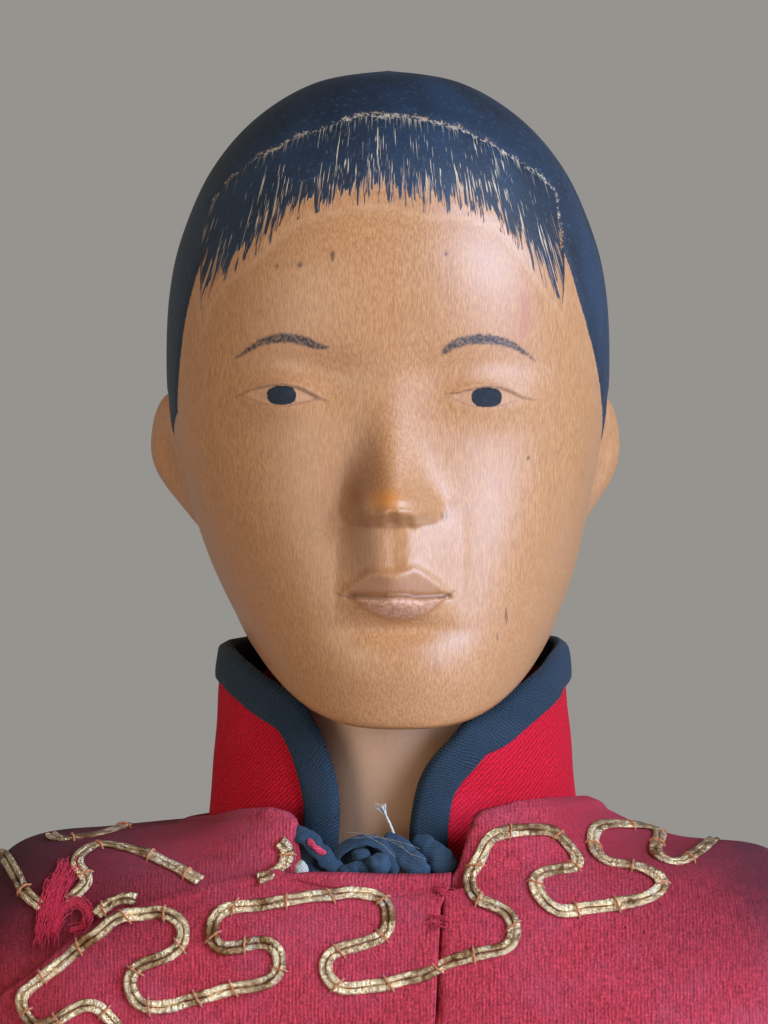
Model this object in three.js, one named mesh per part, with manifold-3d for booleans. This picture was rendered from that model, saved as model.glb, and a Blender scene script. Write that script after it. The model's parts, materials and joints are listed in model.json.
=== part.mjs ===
// A standing doll with a carved wooden head and hands, a stuffed cloth body and a Chinese jacket and trousers.
// Millimetres, +Z up. The doll faces -Y, and its own left side is +X.
import * as THREE from 'three';
import { LoftGeometry } from 'three/addons/geometries/LoftGeometry.js';
import { mergeVertices } from 'three/addons/utils/BufferGeometryUtils.js';
import Module from 'manifold-3d';

const wasm = await Module();
wasm.setup();

// Gap between pieces that lie against each other
const fit = 0.3;

// Carved head and neck
const headHeight = 49.2;
const headWidth = 33.3;
const faceReach = 17;
const backReach = 22.5;
const chinRise = 10.7;
const neckRadius = 7.4;
const neckSeatDepth = 6;
const tieGrooveDepth = 0.5;
const pegRadius = 5;
const pegLength = 14;
const noseRelief = 3.8;
const noseHalfWidth = 2.4;
const lipRelief = 1.0;
const lipHalfWidth = 4.4;
const eyeHollow = 0.9;
const eyeSpread = 7.8;
const earHeight = 10.4;
const earDepth = 7;
const earThickness = 2.6;
const earFlare = 0.45;

// Stuffed body
const torsoLength = 96;
const hipHalfWidth = 25;
const hipHalfDepth = 15.5;
const hipRise = 6;
const waistHalfWidth = 22;
const waistHalfDepth = 14;
const waistRise = 34;
const chestHalfWidth = 25.5;
const chestHalfDepth = 16;
const chestRise = 64;
const shoulderHalfWidth = 26;
const shoulderHalfDepth = 13.5;
const shoulderDrop = 11.5;
const neckTubeRadius = 8.4;
const neckTubeHeight = 4.5;
const tieThickness = 1;

// Under-jacket and its stand collar
const underCloth = 0.9;
const collarRadius = 13.9;
const collarTopRadius = 13.5;
const collarHeight = 22;
const collarCloth = 1.1;
const collarFrontReach = 11.5;
const bindingWidth = 3;
const bindingProud = 0.35;
const knotRadius = 1.7;
const loopThickness = 1.3;
const knotOffset = 1.1;

// Outer jacket
const jacketCloth = 1.2;
const overlapCloth = 1;
const chestEase = 2.5;
const waistEase = 5.3;
const hemHalfWidth = 33;
const hemHalfDepth = 23;
const necklineRise = 7;
const necklineDip = 4.9;
const seamAngle = 9;
const armholeReach = 34;
const sleeveRadius = 12.5;
const cuffRadius = 14;
const sleeveCloth = 1.2;
const sleeveShort = 5;

// Arms and hands
const armRadius = 8;
const wristRadius = 5.6;
const bendRadius = 13.4;
const armSplay = 7;
const forearmLength = 50;
const underSleeveShow = 1.5;
const cuffBindingWidth = 2.6;
const handPegRadius = 2.6;
const handPegLength = 6;
const handLength = 20;
const palmHalfWidth = 5;
const palmHalfThickness = 2.5;
const thumbRadius = 1.6;

// Legs, trousers and shoes
const legLength = 119;
const legRadius = 11.2;
const ankleRadius = 6.4;
const hipSpread = 15;
const trouserCloth = 1.2;
const trouserFlare = 1.6;
const trouserHemRise = 18;
const seatCloth = 1;
const seatHeight = 14;
const soleThickness = 3;
const shoeHalfWidth = 8;
const toeReach = 21.5;
const heelReach = 12.5;
const upperHeight = 12;
const toeHeight = 7;
const insoleHeight = 2;

// Heights that follow from those sizes
const hipHeight = soleThickness + legLength;
const trouserRadius = legRadius + fit + trouserCloth;
const seatBottom = hipHeight + trouserRadius + fit;
const torsoBottom = seatBottom + seatCloth + fit;
const torsoTop = torsoBottom + torsoLength;
const shoulderTop = torsoTop - neckTubeHeight;
const armHeight = torsoTop - shoulderDrop;
const chin = torsoTop + chinRise;
const neckSeat = torsoTop - neckSeatDepth;
const collarBase = shoulderTop + fit + underCloth + fit;
const neckline = collarBase + necklineRise;
const underOffset = fit + underCloth;
const jacketNeckRadius = collarRadius + bindingProud + fit + jacketCloth;

// Finishes
const finish = (color, roughness) => new THREE.MeshStandardMaterial({ color, roughness, metalness: 0 });
const wood = finish(0xb27d4c, 0.42);
const cotton = finish(0xd8ccb6, 0.9);
const thread = finish(0xcdbfa4, 0.8);
const crimson = finish(0xa12a3c, 0.75);
const scarlet = finish(0xb5121d, 0.8);
const navy = finish(0x1f2d3b, 0.85);
const indigo = finish(0x27364a, 0.9);
const soleCloth = finish(0xd9d0bd, 0.9);
const shoeCloth = finish(0x191c22, 0.85);

const degrees = THREE.MathUtils.degToRad;
const bell = (distance, spread) => Math.exp(-((distance / spread) ** 2) / 2);

// A closed geometry as a solid, turned right side out.
function solid(geometry) {
  const bare = new THREE.BufferGeometry();
  bare.setAttribute('position', geometry.getAttribute('position'));
  bare.setIndex(geometry.index);
  const merged = mergeVertices(bare, 1e-4);
  const triVerts = new Uint32Array(merged.index.array);
  const vertProperties = merged.getAttribute('position').array;
  const make = () => new wasm.Manifold(new wasm.Mesh({ numProp: 3, vertProperties, triVerts }));
  const first = make();
  if (first.volume() > 0) return first;
  for (let i = 0; i < triVerts.length; i += 3) {
    [triVerts[i + 1], triVerts[i + 2]] = [triVerts[i + 2], triVerts[i + 1]];
  }
  return make();
}

// A solid as a named mesh.
function piece(name, shape, material) {
  const { vertProperties, triVerts } = shape.getMesh();
  const geometry = new THREE.BufferGeometry();
  geometry.setAttribute('position', new THREE.BufferAttribute(vertProperties, 3));
  geometry.setIndex(new THREE.BufferAttribute(triVerts, 1));
  geometry.computeVertexNormals();
  const mesh = new THREE.Mesh(geometry, material);
  mesh.name = name;
  return mesh;
}

// Sections joined by a skin, with triangles given as places to close the two ends.
function skinned(sections, ends) {
  const sides = new LoftGeometry(sections).toNonIndexed().getAttribute('position').array;
  const geometry = new THREE.BufferGeometry();
  const positions = [...sides, ...ends.flatMap((place) => place.toArray())];
  geometry.setAttribute('position', new THREE.Float32BufferAttribute(positions, 3));
  return solid(geometry);
}

const bothEnds = (sections) => [sections[sections.length - 1], [...sections[0]].reverse()];

// A full body. Each end is closed by a fan about its middle.
function filled(sections) {
  return skinned(sections, bothEnds(sections).flatMap((ring) => {
    const middle = new THREE.Vector3();
    for (const place of ring) middle.addScaledVector(place, 1 / ring.length);
    return ring.flatMap((place, i) => [middle, place, ring[(i + 1) % ring.length]]);
  }));
}

// A bent sheet with thickness. Each section runs out along one face and back along the other.
function slab(sections) {
  return skinned(sections, bothEnds(sections).flatMap((ring) => {
    const last = ring.length - 1;
    return ring.slice(0, ring.length / 2 - 1).flatMap((place, i) => [
      place, ring[i + 1], ring[last - i - 1], place, ring[last - i - 1], ring[last - i],
    ]);
  }));
}

// A tube wall: up the outer sections, over the rim and back down the inner ones.
const walled = (outer, inner) => solid(new LoftGeometry([...outer, ...inner.reverse(), outer[0]]));

// A solid of revolution about a vertical line, from points of radius and height.
function turned(profile, sides) {
  const points = profile.map(([radius, height]) => new THREE.Vector2(radius, height));
  return solid(new THREE.LatheGeometry(points, sides).rotateX(Math.PI / 2));
}

// A dome's profile from its rim up to the axis, or from the axis down.
function dome(radius, centre, steps, down) {
  const points = [];
  for (let i = 0; i <= steps; i++) {
    const angle = (Math.PI / 2) * (down ? 1 - i / steps : i / steps);
    points.push([radius * Math.cos(angle), centre + radius * Math.sin(angle)]);
  }
  points[down ? 0 : steps][0] = 0;
  return points;
}

// Rows of values spread smoothly over a number of steps.
function smoothRows(rows, steps) {
  const curve = new THREE.CubicInterpolant(rows.map((row, i) => i), rows.flat(), rows[0].length);
  return Array.from({ length: steps + 1 }, (unused, i) => [...curve.evaluate((i / steps) * (rows.length - 1))]);
}

// One level of a rounded form: half width, front and back reach, its height at the front, side and back, and
// how far behind the axis it is widest. The squareness is 2 for an ellipse, and the rise bends the heights.
// The angle runs from the front round by the left side.
function levelPoint([width, front, back, atFront, atSide, atBack, setBack], angle, squareness, rise) {
  const power = 2 / squareness;
  const across = Math.sign(Math.sin(angle)) * Math.abs(Math.sin(angle)) ** power;
  const along = Math.sign(Math.cos(angle)) * Math.abs(Math.cos(angle)) ** power;
  const middle = along > 0 ? atFront : atBack;
  const height = middle + (atSide - middle) * Math.abs(Math.sin(angle)) ** rise;
  const depth = (setBack ?? 0) * Math.sin(angle) ** 2 - along * (along > 0 ? front : back);
  return new THREE.Vector3(width * across, depth, height);
}

function levelSections(rows, sides, squareness, rise) {
  const angles = Array.from({ length: sides }, (unused, i) => (i / sides) * 2 * Math.PI);
  return rows.map((row) => angles.map((angle) => levelPoint(row, angle, squareness, rise)));
}

// Head levels from the throat to the crown, as shares of the half width, the face's reach, the back's reach,
// the height above the chin at the front, side and back, and the back's reach again for the widest place.
const headShares = [
  [0.5, 0.49, 0.38, 0.115, 0.14, 0.15, 0],
  [0.6, 0.72, 0.42, 0.065, 0.16, 0.185, 0.1],
  [0.68, 0.86, 0.46, 0, 0.135, 0.19, 0.11],
  [0.745, 0.925, 0.52, 0.035, 0.175, 0.225, 0.11],
  [0.84, 0.96, 0.63, 0.12, 0.255, 0.295, 0.1],
  [0.93, 0.96, 0.81, 0.245, 0.37, 0.385, 0.06],
  [0.985, 0.935, 0.93, 0.38, 0.47, 0.475, 0.03],
  [1, 0.94, 0.99, 0.52, 0.56, 0.57, 0.02],
  [0.985, 0.965, 1, 0.66, 0.66, 0.66, 0.02],
  [0.93, 0.93, 0.96, 0.745, 0.745, 0.745, 0.02],
  [0.8, 0.82, 0.85, 0.845, 0.845, 0.845, 0.02],
  [0.6, 0.63, 0.65, 0.925, 0.925, 0.925, 0.02],
  [0.33, 0.36, 0.36, 0.98, 0.98, 0.98, 0.02],
  [0.03, 0.03, 0.03, 1, 1, 1, 0.02],
];
const headSteps = 28;
const headSides = 38;

// Places on the face as shares of the head's height above the chin
const noseTop = 0.53;
const noseTip = 0.345;
const noseBase = 0.305;
const mouthLine = 0.2;
const eyeLine = 0.5;

// How far the carving stands forward of the plain head at a place on the face.
function faceRelief(x, height) {
  const share = height / headHeight;
  const along = THREE.MathUtils.clamp((noseTop - share) / (noseTop - noseTip), 0, 1);
  const under = THREE.MathUtils.smoothstep(share, noseBase, noseTip);
  const nose = noseRelief * along ** 1.4 * under * bell(x, noseHalfWidth * (0.55 + 0.45 * along) * 0.75);
  const lips = lipRelief * bell(share - mouthLine, 0.05) * bell(x, lipHalfWidth * 0.7);
  const sockets = eyeHollow * bell(share - eyeLine, 0.035) * bell(Math.abs(x) - eyeSpread, eyeSpread * 0.4);
  return nose + lips - sockets;
}

function headSolid() {
  const rows = smoothRows(headShares, headSteps).map(([width, front, back, atFront, atSide, atBack, setBack]) => [
    (width * headWidth) / 2,
    front * faceReach,
    back * backReach,
    chin + atFront * headHeight,
    chin + atSide * headHeight,
    chin + atBack * headHeight,
    setBack * backReach,
  ]);
  const sections = levelSections(rows, headSides, 2.2, 2.6);
  for (const point of sections.flat()) {
    if (point.y < -faceReach / 2) point.y -= faceRelief(point.x, point.z - chin);
  }
  const neck = turned([
    [0, neckSeat - pegLength],
    [pegRadius, neckSeat - pegLength],
    [pegRadius, neckSeat],
    [neckRadius, neckSeat],
    [neckRadius, tieHeight - tieThickness],
    [neckRadius - tieGrooveDepth, tieHeight],
    [neckRadius, tieHeight + tieThickness],
    [neckRadius, chin + headHeight / 5],
    [0, chin + headHeight / 4],
  ], 24);
  let head = filled(sections).add(neck);
  for (const side of [-1, 1]) {
    const ear = new THREE.SphereGeometry(0.5, 12, 8).rotateX(Math.PI / 2);
    ear.scale(earThickness, earDepth, earHeight).rotateZ(-side * earFlare);
    ear.translate(side * (headWidth / 2 - 0.2), earDepth / 4, chin + headHeight * 0.4);
    head = head.add(solid(ear));
  }
  return head;
}

// Body levels: height, half width, half depth and how the level moves when the form is swollen by an offset.
const bodyLevels = [
  [torsoBottom, hipHalfWidth - 4, hipHalfDepth - 4, -1],
  [torsoBottom + 2, hipHalfWidth - 1, hipHalfDepth - 1, -0.5],
  [torsoBottom + hipRise, hipHalfWidth, hipHalfDepth, 0],
  [torsoBottom + waistRise, waistHalfWidth, waistHalfDepth, 0],
  [torsoBottom + chestRise, chestHalfWidth, chestHalfDepth, 0],
  [armHeight, shoulderHalfWidth, shoulderHalfDepth, 0.1],
  [shoulderTop - 3, shoulderHalfWidth - 3, shoulderHalfDepth - 2, 0.6],
  [shoulderTop, neckTubeRadius + 2, neckTubeRadius + 1, 1],
];
const bodySteps = 14;
const bodySides = 24;

// Rows of the body swollen by an offset, as level values.
function bodyRows(offset) {
  return smoothRows(bodyLevels, bodySteps).map(([height, width, depth, lift]) => {
    const level = height + lift * offset;
    return [width + offset, depth + offset, depth + offset, level, level, level];
  });
}

// The row at a height between two of a form's level rows.
function rowAt(rows, height) {
  const above = rows.findIndex((row) => row[3] > height);
  const share = (height - rows[above - 1][3]) / (rows[above][3] - rows[above - 1][3]);
  return rows[above].map((value, i) => THREE.MathUtils.lerp(rows[above - 1][i], value, share));
}

const bodySections = (offset) => levelSections(bodyRows(offset), bodySides, 2.3, 2);
const tieHeight = torsoTop - neckTubeHeight / 2;

function torsoSolid() {
  const tube = turned([
    [0, shoulderTop - neckTubeHeight],
    [neckTubeRadius, shoulderTop - neckTubeHeight],
    [neckTubeRadius, torsoTop],
    [0, torsoTop],
  ], 24);
  const socket = turned([
    [0, neckSeat - pegLength - fit],
    [pegRadius + fit, neckSeat - pegLength - fit],
    [pegRadius + fit, neckSeat - fit],
    [neckRadius + fit, neckSeat - fit],
    [neckRadius + fit, torsoTop + fit],
    [0, torsoTop + fit],
  ], 24);
  return filled(bodySections(0)).add(tube).subtract(socket);
}

// A ring of bound thread about a vertical axis.
function tie(radius, height) {
  const ring = new THREE.TorusGeometry(radius + fit + tieThickness / 2, tieThickness / 2, 6, 20);
  return solid(ring.translate(0, 0, height));
}

// A disc-ended bar along X through the shoulders, for armholes.
function shoulderBar(radius, reach) {
  const bar = new THREE.CylinderGeometry(radius, radius, 2 * reach, 24).rotateZ(Math.PI / 2);
  return solid(bar.translate(0, 0, armHeight));
}

const underHem = torsoBottom + seatHeight + fit;

function underJacketSolid() {
  const wall = (offset, collar) => {
    const top = collarBase - fit;
    const hem = rowAt(bodyRows(offset), underHem);
    const rows = bodyRows(offset).filter(([, , , height]) => height > underHem && height < top - fit);
    return levelSections([hem, ...rows, [collar, collar, collar, top, top, top]], bodySides, 2.3, 2);
  };
  const shape = walled(wall(underOffset, collarRadius), wall(fit, collarRadius - collarCloth));
  return shape.subtract(shoulderBar(armRadius + fit, armholeReach));
}

// The collar's free edge from the right front round the back to the left front, as the angle from the doll's
// front and the share of the collar's height.
const collarEdgeShares = [
  [-14.6, 0.01],
  [-14.6, 0.23],
  [-14.2, 0.36],
  [-16.5, 0.47],
  [-21.4, 0.585],
  [-27, 0.67],
  [-33, 0.722],
  [-46, 0.752],
  [-60, 0.82],
  [-80, 0.88],
  [-120, 0.9],
  [-150, 0.96],
  [-180, 1],
  [-210, 0.97],
  [-240, 0.91],
  [-270, 0.895],
  [-290, 0.885],
  [-301, 0.84],
  [-315, 0.75],
  [-326, 0.675],
  [-335, 0.63],
  [-340.4, 0.575],
  [-347, 0.505],
  [-351, 0.43],
  [-353.2, 0.325],
  [-353.9, 0.235],
  [-354, 0.01],
];
const collarSteps = 36;

// Points along the edge, unrolled at the base, with the direction into the cloth.
function collarEdge() {
  const edge = new THREE.SplineCurve(collarEdgeShares.map(([angle, share]) => {
    return new THREE.Vector2(-degrees(angle) * collarRadius, share * collarHeight);
  }));
  const all = edge.getSpacedPoints(collarSteps);
  return all.map((point, i) => {
    const before = all[Math.max(i - 1, 0)];
    const after = all[Math.min(i + 1, all.length - 1)];
    const run = after.clone().sub(before).normalize();
    return { point, inward: new THREE.Vector2(run.y, -run.x) };
  });
}

// A place on the collar's wall, which is an oval drawn in at the throat.
function collarPoint(unrolled, proud) {
  const lean = (collarTopRadius / collarRadius - 1) * (unrolled.y / collarHeight) + 1;
  const angle = -unrolled.x / collarRadius;
  const depth = Math.cos(angle) > 0 ? collarFrontReach : collarRadius;
  return new THREE.Vector3(
    (collarRadius * lean + proud) * Math.sin(angle),
    -(depth * lean + proud) * Math.cos(angle),
    collarBase + unrolled.y,
  );
}

function collarBandSolid() {
  const columns = collarEdge().map(({ point, inward }) => {
    return point.clone().addScaledVector(inward, bindingWidth + fit);
  });
  const standing = columns.filter((top) => top.y > 1.5);
  return slab(standing.map((top) => {
    const heights = [0, 0.5, 1].map((share) => new THREE.Vector2(top.x, top.y * share));
    const outside = heights.map((place) => collarPoint(place, 0));
    const inside = heights.map((place) => collarPoint(place, -collarCloth)).reverse();
    return [...outside, ...inside];
  }));
}

function collarBindingSolid() {
  return slab(collarEdge().map(({ point, inward }) => {
    const inner = point.clone().addScaledVector(inward, bindingWidth);
    inner.y = Math.max(inner.y, point.y > 1 ? inner.y : 0.3);
    const middle = point.clone().lerp(inner, 0.5);
    const face = [point, middle, inner].map((place) => collarPoint(place, bindingProud));
    const back = [inner, middle, point].map((place) => collarPoint(place, -collarCloth - bindingProud));
    return [...face, ...back];
  }));
}

// A round cord through points, with an even number of steps.
function cord(points, thickness, steps, sides) {
  const path = new THREE.CatmullRomCurve3(points);
  const outline = new THREE.Shape().absarc(0, 0, thickness / 2, 0, 2 * Math.PI);
  return solid(new THREE.ExtrudeGeometry(outline, {
    steps, curveSegments: sides, extrudePath: path, bevelEnabled: false,
  }));
}

const knotHeight = neckline - necklineDip + fit + knotRadius;
const knotPlace = new THREE.Vector3(
  -knotOffset,
  -(collarFrontReach + bindingProud + fit + knotRadius + loopThickness),
  knotHeight,
);

// A cord's place in front of the collar, at an angle from the doll's front.
function beforeCollar(angle, clear, height) {
  const reach = bindingProud + fit + loopThickness / 2 + clear;
  return new THREE.Vector3(
    (collarRadius + reach) * Math.sin(degrees(angle)),
    -(collarFrontReach + reach) * Math.cos(degrees(angle)),
    height,
  );
}

function knotSolid() {
  const ball = new THREE.SphereGeometry(knotRadius, 12, 8).translate(...knotPlace);
  const start = knotPlace.clone().add(new THREE.Vector3(-knotRadius / 2, loopThickness / 2, 0));
  const tail = [start, ...[-17, -23, -29].map((angle, i) => beforeCollar(angle, 0.5, knotHeight + i * 0.7))];
  return solid(ball).add(cord(tail, loopThickness, 8, 3));
}

function loopSolid() {
  const radius = knotRadius + fit + loopThickness / 2 + fit;
  const arch = [150, 110, 70, 30, 0].map((step) => {
    const angle = degrees(step);
    const place = new THREE.Vector3(radius * Math.cos(angle), 0, radius * Math.sin(angle));
    return place.add(knotPlace);
  });
  const tail = [14, 22].map((angle) => beforeCollar(angle, 0.5, knotHeight));
  return cord([...arch, ...tail], loopThickness, 14, 3);
}

// Jacket levels: half width, front and back reach of the cloth's outer face, height at the front, side and
// back, and how far the inner face drops below the outer one.
const jacketHem = seatBottom;
const jacketLevels = [
  [hemHalfWidth, hemHalfDepth, hemHalfDepth, jacketHem, jacketHem, jacketHem, 0],
  jacketLevel(waistHalfWidth, waistHalfDepth, waistEase, torsoBottom + waistRise),
  jacketLevel(chestHalfWidth, chestHalfDepth, chestEase, torsoBottom + chestRise),
  jacketLevel(shoulderHalfWidth, shoulderHalfDepth + 2, chestEase - 0.6, armHeight),
  jacketLevel(shoulderHalfWidth - 1, shoulderHalfDepth + 0.5, chestEase - 0.6, armHeight + 6),
  [
    jacketNeckRadius + 8.5, jacketNeckRadius + 0.6, jacketNeckRadius + 0.4,
    neckline - necklineDip - 2, armHeight + sleeveRadius + 0.6, neckline - 3, 0.7,
  ],
  [jacketNeckRadius, jacketNeckRadius, jacketNeckRadius, neckline - necklineDip, neckline, neckline + 1, 1],
];
const jacketSteps = 12;
const jacketSides = 36;
const jacketSquareness = 2.6;
const jacketRise = 1.2;

function jacketLevel(width, depth, ease, height) {
  const reach = depth + underOffset + ease;
  return [width + underOffset + ease, reach, reach, height, height, height, 0];
}

// Rows of the jacket's cloth, moved outwards by an offset.
function jacketRows(offset) {
  return smoothRows(jacketLevels, jacketSteps).map(([width, front, back, atFront, atSide, atBack, lift]) => [
    width + offset,
    front + offset,
    back + offset,
    atFront + lift * offset,
    atSide + lift * offset,
    atBack + lift * offset,
  ]);
}

function jacketBodySolid() {
  const outer = filled(levelSections(jacketRows(0), jacketSides, jacketSquareness, jacketRise));
  const rows = jacketRows(-jacketCloth);
  const below = [...rows[0].slice(0, 3), ...rows[0].slice(3).map((height) => height - 2 * jacketCloth)];
  const last = rows[rows.length - 1];
  const above = [...last.slice(0, 3), ...last.slice(3).map((height) => height + 4 * jacketCloth)];
  const inner = filled(levelSections([below, ...rows, above], jacketSides, jacketSquareness, jacketRise));
  return outer.add(shoulderBar(sleeveRadius, armholeReach))
    .subtract(inner)
    .subtract(shoulderBar(sleeveRadius - sleeveCloth, armholeReach + fit));
}

// The front overlap: a second layer from the seam left of the middle round to the right side, with its free
// edge running from the neck down to the armpit.
const overlapColumns = 11;
const overlapRows = 8;
const overlapNeckAngle = -14;
const overlapSideAngle = -90;

function jacketPlace(angle, share, offset) {
  const rows = smoothRows(jacketLevels, jacketSteps);
  const at = share * jacketSteps;
  const low = Math.min(Math.floor(at), jacketSteps - 1);
  const row = rows[low].map((value, i) => THREE.MathUtils.lerp(value, rows[low + 1][i], at - low));
  const [width, front, back, atFront, atSide, atBack] = row;
  const moved = [width + offset, front + offset, back + offset, atFront, atSide, atBack];
  return levelPoint(moved, angle, jacketSquareness, jacketRise);
}

// Share of the way up the jacket at which a column reaches a height.
function shareAt(angle, height) {
  let low = 0;
  let high = 1;
  for (let i = 0; i < 24; i++) {
    const middle = (low + high) / 2;
    if (jacketPlace(angle, middle, 0).z < height) low = middle;
    else high = middle;
  }
  return low;
}

function overlapSolid() {
  const armpit = armHeight - sleeveRadius - 3;
  const neck = neckline - necklineDip - 0.6;
  const near = overlapCloth + 2 * fit;
  return slab(Array.from({ length: overlapColumns + 1 }, (unused, i) => {
    const turn = THREE.MathUtils.lerp(seamAngle, overlapSideAngle, i / overlapColumns);
    const fall = THREE.MathUtils.clamp((overlapNeckAngle - turn) / (overlapNeckAngle + 70), 0, 1);
    const top = shareAt(degrees(turn), THREE.MathUtils.lerp(neck, armpit, fall));
    const column = (offset) => Array.from({ length: overlapRows + 1 }, (each, j) => {
      return jacketPlace(degrees(turn), (top * j) / overlapRows, offset);
    });
    return [...column(near), ...column(near - overlapCloth).reverse()];
  }));
}

// The arm's middle line, by distance from the doll's middle plane: out along X, round a bend, then down.
const bendSweep = Math.PI / 2 - degrees(armSplay);
const bendEnd = armholeReach + bendRadius * bendSweep;
const wrist = bendEnd + forearmLength;
const armStart = shoulderHalfWidth + fit;

function armFrame(distance) {
  const angle = THREE.MathUtils.clamp((distance - armholeReach) / bendRadius, 0, bendSweep);
  const straight = Math.min(distance, armholeReach);
  const beyond = Math.max(distance - bendEnd, 0);
  const run = new THREE.Vector3(Math.cos(angle), 0, -Math.sin(angle));
  const centre = new THREE.Vector3(
    straight + bendRadius * Math.sin(angle),
    0,
    armHeight - bendRadius * (1 - Math.cos(angle)),
  ).addScaledVector(run, beyond);
  return { centre, run, up: new THREE.Vector3(Math.sin(angle), 0, Math.cos(angle)), angle };
}

// Sections across the arm line. Each row is the distance, the half width along Y and the half thickness.
function armSections(rows, sides) {
  return rows.map(([distance, width, thickness]) => {
    const { centre, up } = armFrame(distance);
    return Array.from({ length: sides }, (unused, i) => {
      const angle = (i / sides) * 2 * Math.PI;
      const place = centre.clone().addScaledVector(up, thickness * Math.cos(angle));
      place.y += width * Math.sin(angle);
      return place;
    });
  });
}

// Distances along the arm line at which every tube on it has a section.
const armStations = [0, 1, 2, 3, 4, 5, 6].map((step) => THREE.MathUtils.lerp(armholeReach, bendEnd, step / 6));
armStations.push(bendEnd + forearmLength / 3, bendEnd + (forearmLength * 2) / 3);

// Rows of a round tube along the arm line whose radius runs evenly through the given radii.
function armTube(from, to, radii) {
  const between = armStations.filter((distance) => distance > from + fit && distance < to - fit);
  return [from, ...between, to].map((distance) => {
    const at = ((distance - from) / (to - from)) * (radii.length - 1);
    const low = Math.min(Math.floor(at), radii.length - 2);
    const radius = THREE.MathUtils.lerp(radii[low], radii[low + 1], at - low);
    return [distance, radius, radius];
  });
}

// A hollow sleeve along the arm line.
function sleeveSolid(from, to, radii, cloth) {
  const inside = radii.map((radius) => radius - cloth);
  const sections = (values) => armSections(armTube(from, to, values), 18);
  return walled(sections(radii), sections(inside));
}

function armSolid() {
  const arm = filled(armSections(armTube(armStart, wrist, [armRadius, armRadius, wristRadius]), 18));
  const hole = handPegRadius + fit;
  return arm.subtract(filled(armSections(armTube(wrist - handPegLength - fit, wrist + 1, [hole, hole]), 12)));
}

function handSolid() {
  const from = wrist + fit;
  const peg = armSections(armTube(wrist - handPegLength, from + 1, [handPegRadius, handPegRadius]), 12);
  const palm = armSections([
    [from, 3.2, 2.9],
    [from + handLength * 0.18, 3.5, 2.7],
    [from + handLength * 0.42, palmHalfWidth, palmHalfThickness],
    [from + handLength * 0.65, palmHalfWidth, palmHalfThickness * 0.85],
    [from + handLength * 0.88, palmHalfWidth * 0.8, palmHalfThickness * 0.65],
    [from + handLength, palmHalfWidth * 0.45, palmHalfThickness * 0.35],
  ], 16);
  const { centre, angle } = armFrame(from + handLength * 0.46);
  const thumb = new THREE.CapsuleGeometry(thumbRadius, handLength * 0.34, 3, 8).rotateX(Math.PI / 2);
  thumb.rotateX(-0.42).rotateY(angle - Math.PI / 2).translate(centre.x, -palmHalfWidth - 0.4, centre.z);
  return filled(palm).add(filled(peg)).add(solid(thumb));
}

function wristTieSolid() {
  const { centre, angle } = armFrame(wrist - handPegLength / 2);
  const radius = wristRadius + 0.8 + fit + tieThickness / 2;
  const ring = new THREE.TorusGeometry(radius, tieThickness / 2, 6, 16);
  return solid(ring.rotateY(Math.PI / 2 + angle).translate(...centre));
}

function legSolid() {
  const foot = soleThickness + fit + insoleHeight + fit;
  return turned([
    [0, foot],
    [ankleRadius, foot],
    [ankleRadius, soleThickness + upperHeight + 4],
    [(ankleRadius + legRadius) / 2, hipHeight * 0.35],
    [legRadius, hipHeight * 0.75],
    ...dome(legRadius, hipHeight, 4, false),
  ], 18);
}

function trouserSolid() {
  const hem = trouserRadius + trouserFlare;
  const inner = trouserRadius - trouserCloth;
  return turned([
    ...dome(inner, hipHeight, 5, true),
    [inner, hipHeight * 0.75],
    [hem - trouserCloth, soleThickness + trouserHemRise],
    [hem, soleThickness + trouserHemRise],
    [trouserRadius, hipHeight * 0.75],
    ...dome(trouserRadius, hipHeight, 5, false),
  ], 22);
}

// The trousers' seat and waistband, a cup round the bottom of the body.
function seatSolid() {
  const offset = fit + seatCloth;
  const brim = torsoBottom + seatHeight;
  const rows = bodyRows(offset).filter(([, , , height]) => height < brim);
  const outer = filled(levelSections([...rows, rowAt(bodyRows(offset), brim)], bodySides, 2.3, 2));
  return outer.subtract(filled(bodySections(fit)));
}

function soleSolid() {
  const rows = [0, soleThickness].map((height) => [shoeHalfWidth, toeReach, heelReach, height, height, height]);
  return filled(levelSections(rows, 24, 2.4, 2));
}

function upperSolid() {
  const base = soleThickness + fit;
  const mouth = ankleRadius + fit + 1;
  const level = (width, toe, heel, rise) => [width, toe, heel, base + rise, base + rise, base + rise];
  const body = filled(levelSections([
    level(shoeHalfWidth - 0.6, toeReach - 0.6, heelReach - 0.6, 0),
    level(shoeHalfWidth - 0.3, toeReach - 0.5, heelReach - 0.4, toeHeight * 0.4),
    level(shoeHalfWidth - 0.4, toeReach - 2.2, heelReach - 0.6, toeHeight * 0.75),
    level(shoeHalfWidth - 0.4, toeReach - 6, heelReach - 0.9, toeHeight),
    level(Math.max(shoeHalfWidth - 0.5, mouth), mouth + 1.5, heelReach - 1.6, (toeHeight + upperHeight) / 2),
    level(mouth, mouth, mouth + 1.5, upperHeight),
  ], 24, 2.3, 2));
  const ankle = turned([
    [0, base + insoleHeight],
    [ankleRadius + fit, base + insoleHeight],
    [ankleRadius + fit, base + upperHeight + 1],
    [0, base + upperHeight + 1],
  ], 18);
  return body.subtract(ankle);
}

// A left limb's pieces, moved out to their place and mirrored for the right.
function bothSides(doll, offset, makers) {
  for (const [name, shape, material] of makers) {
    for (const [side, sign] of [['left', 1], ['right', -1]]) {
      const mesh = piece(`${side}_${name}`, shape, material);
      mesh.position.x = sign * offset;
      mesh.scale.x = sign;
      doll.add(mesh);
    }
  }
}

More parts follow.
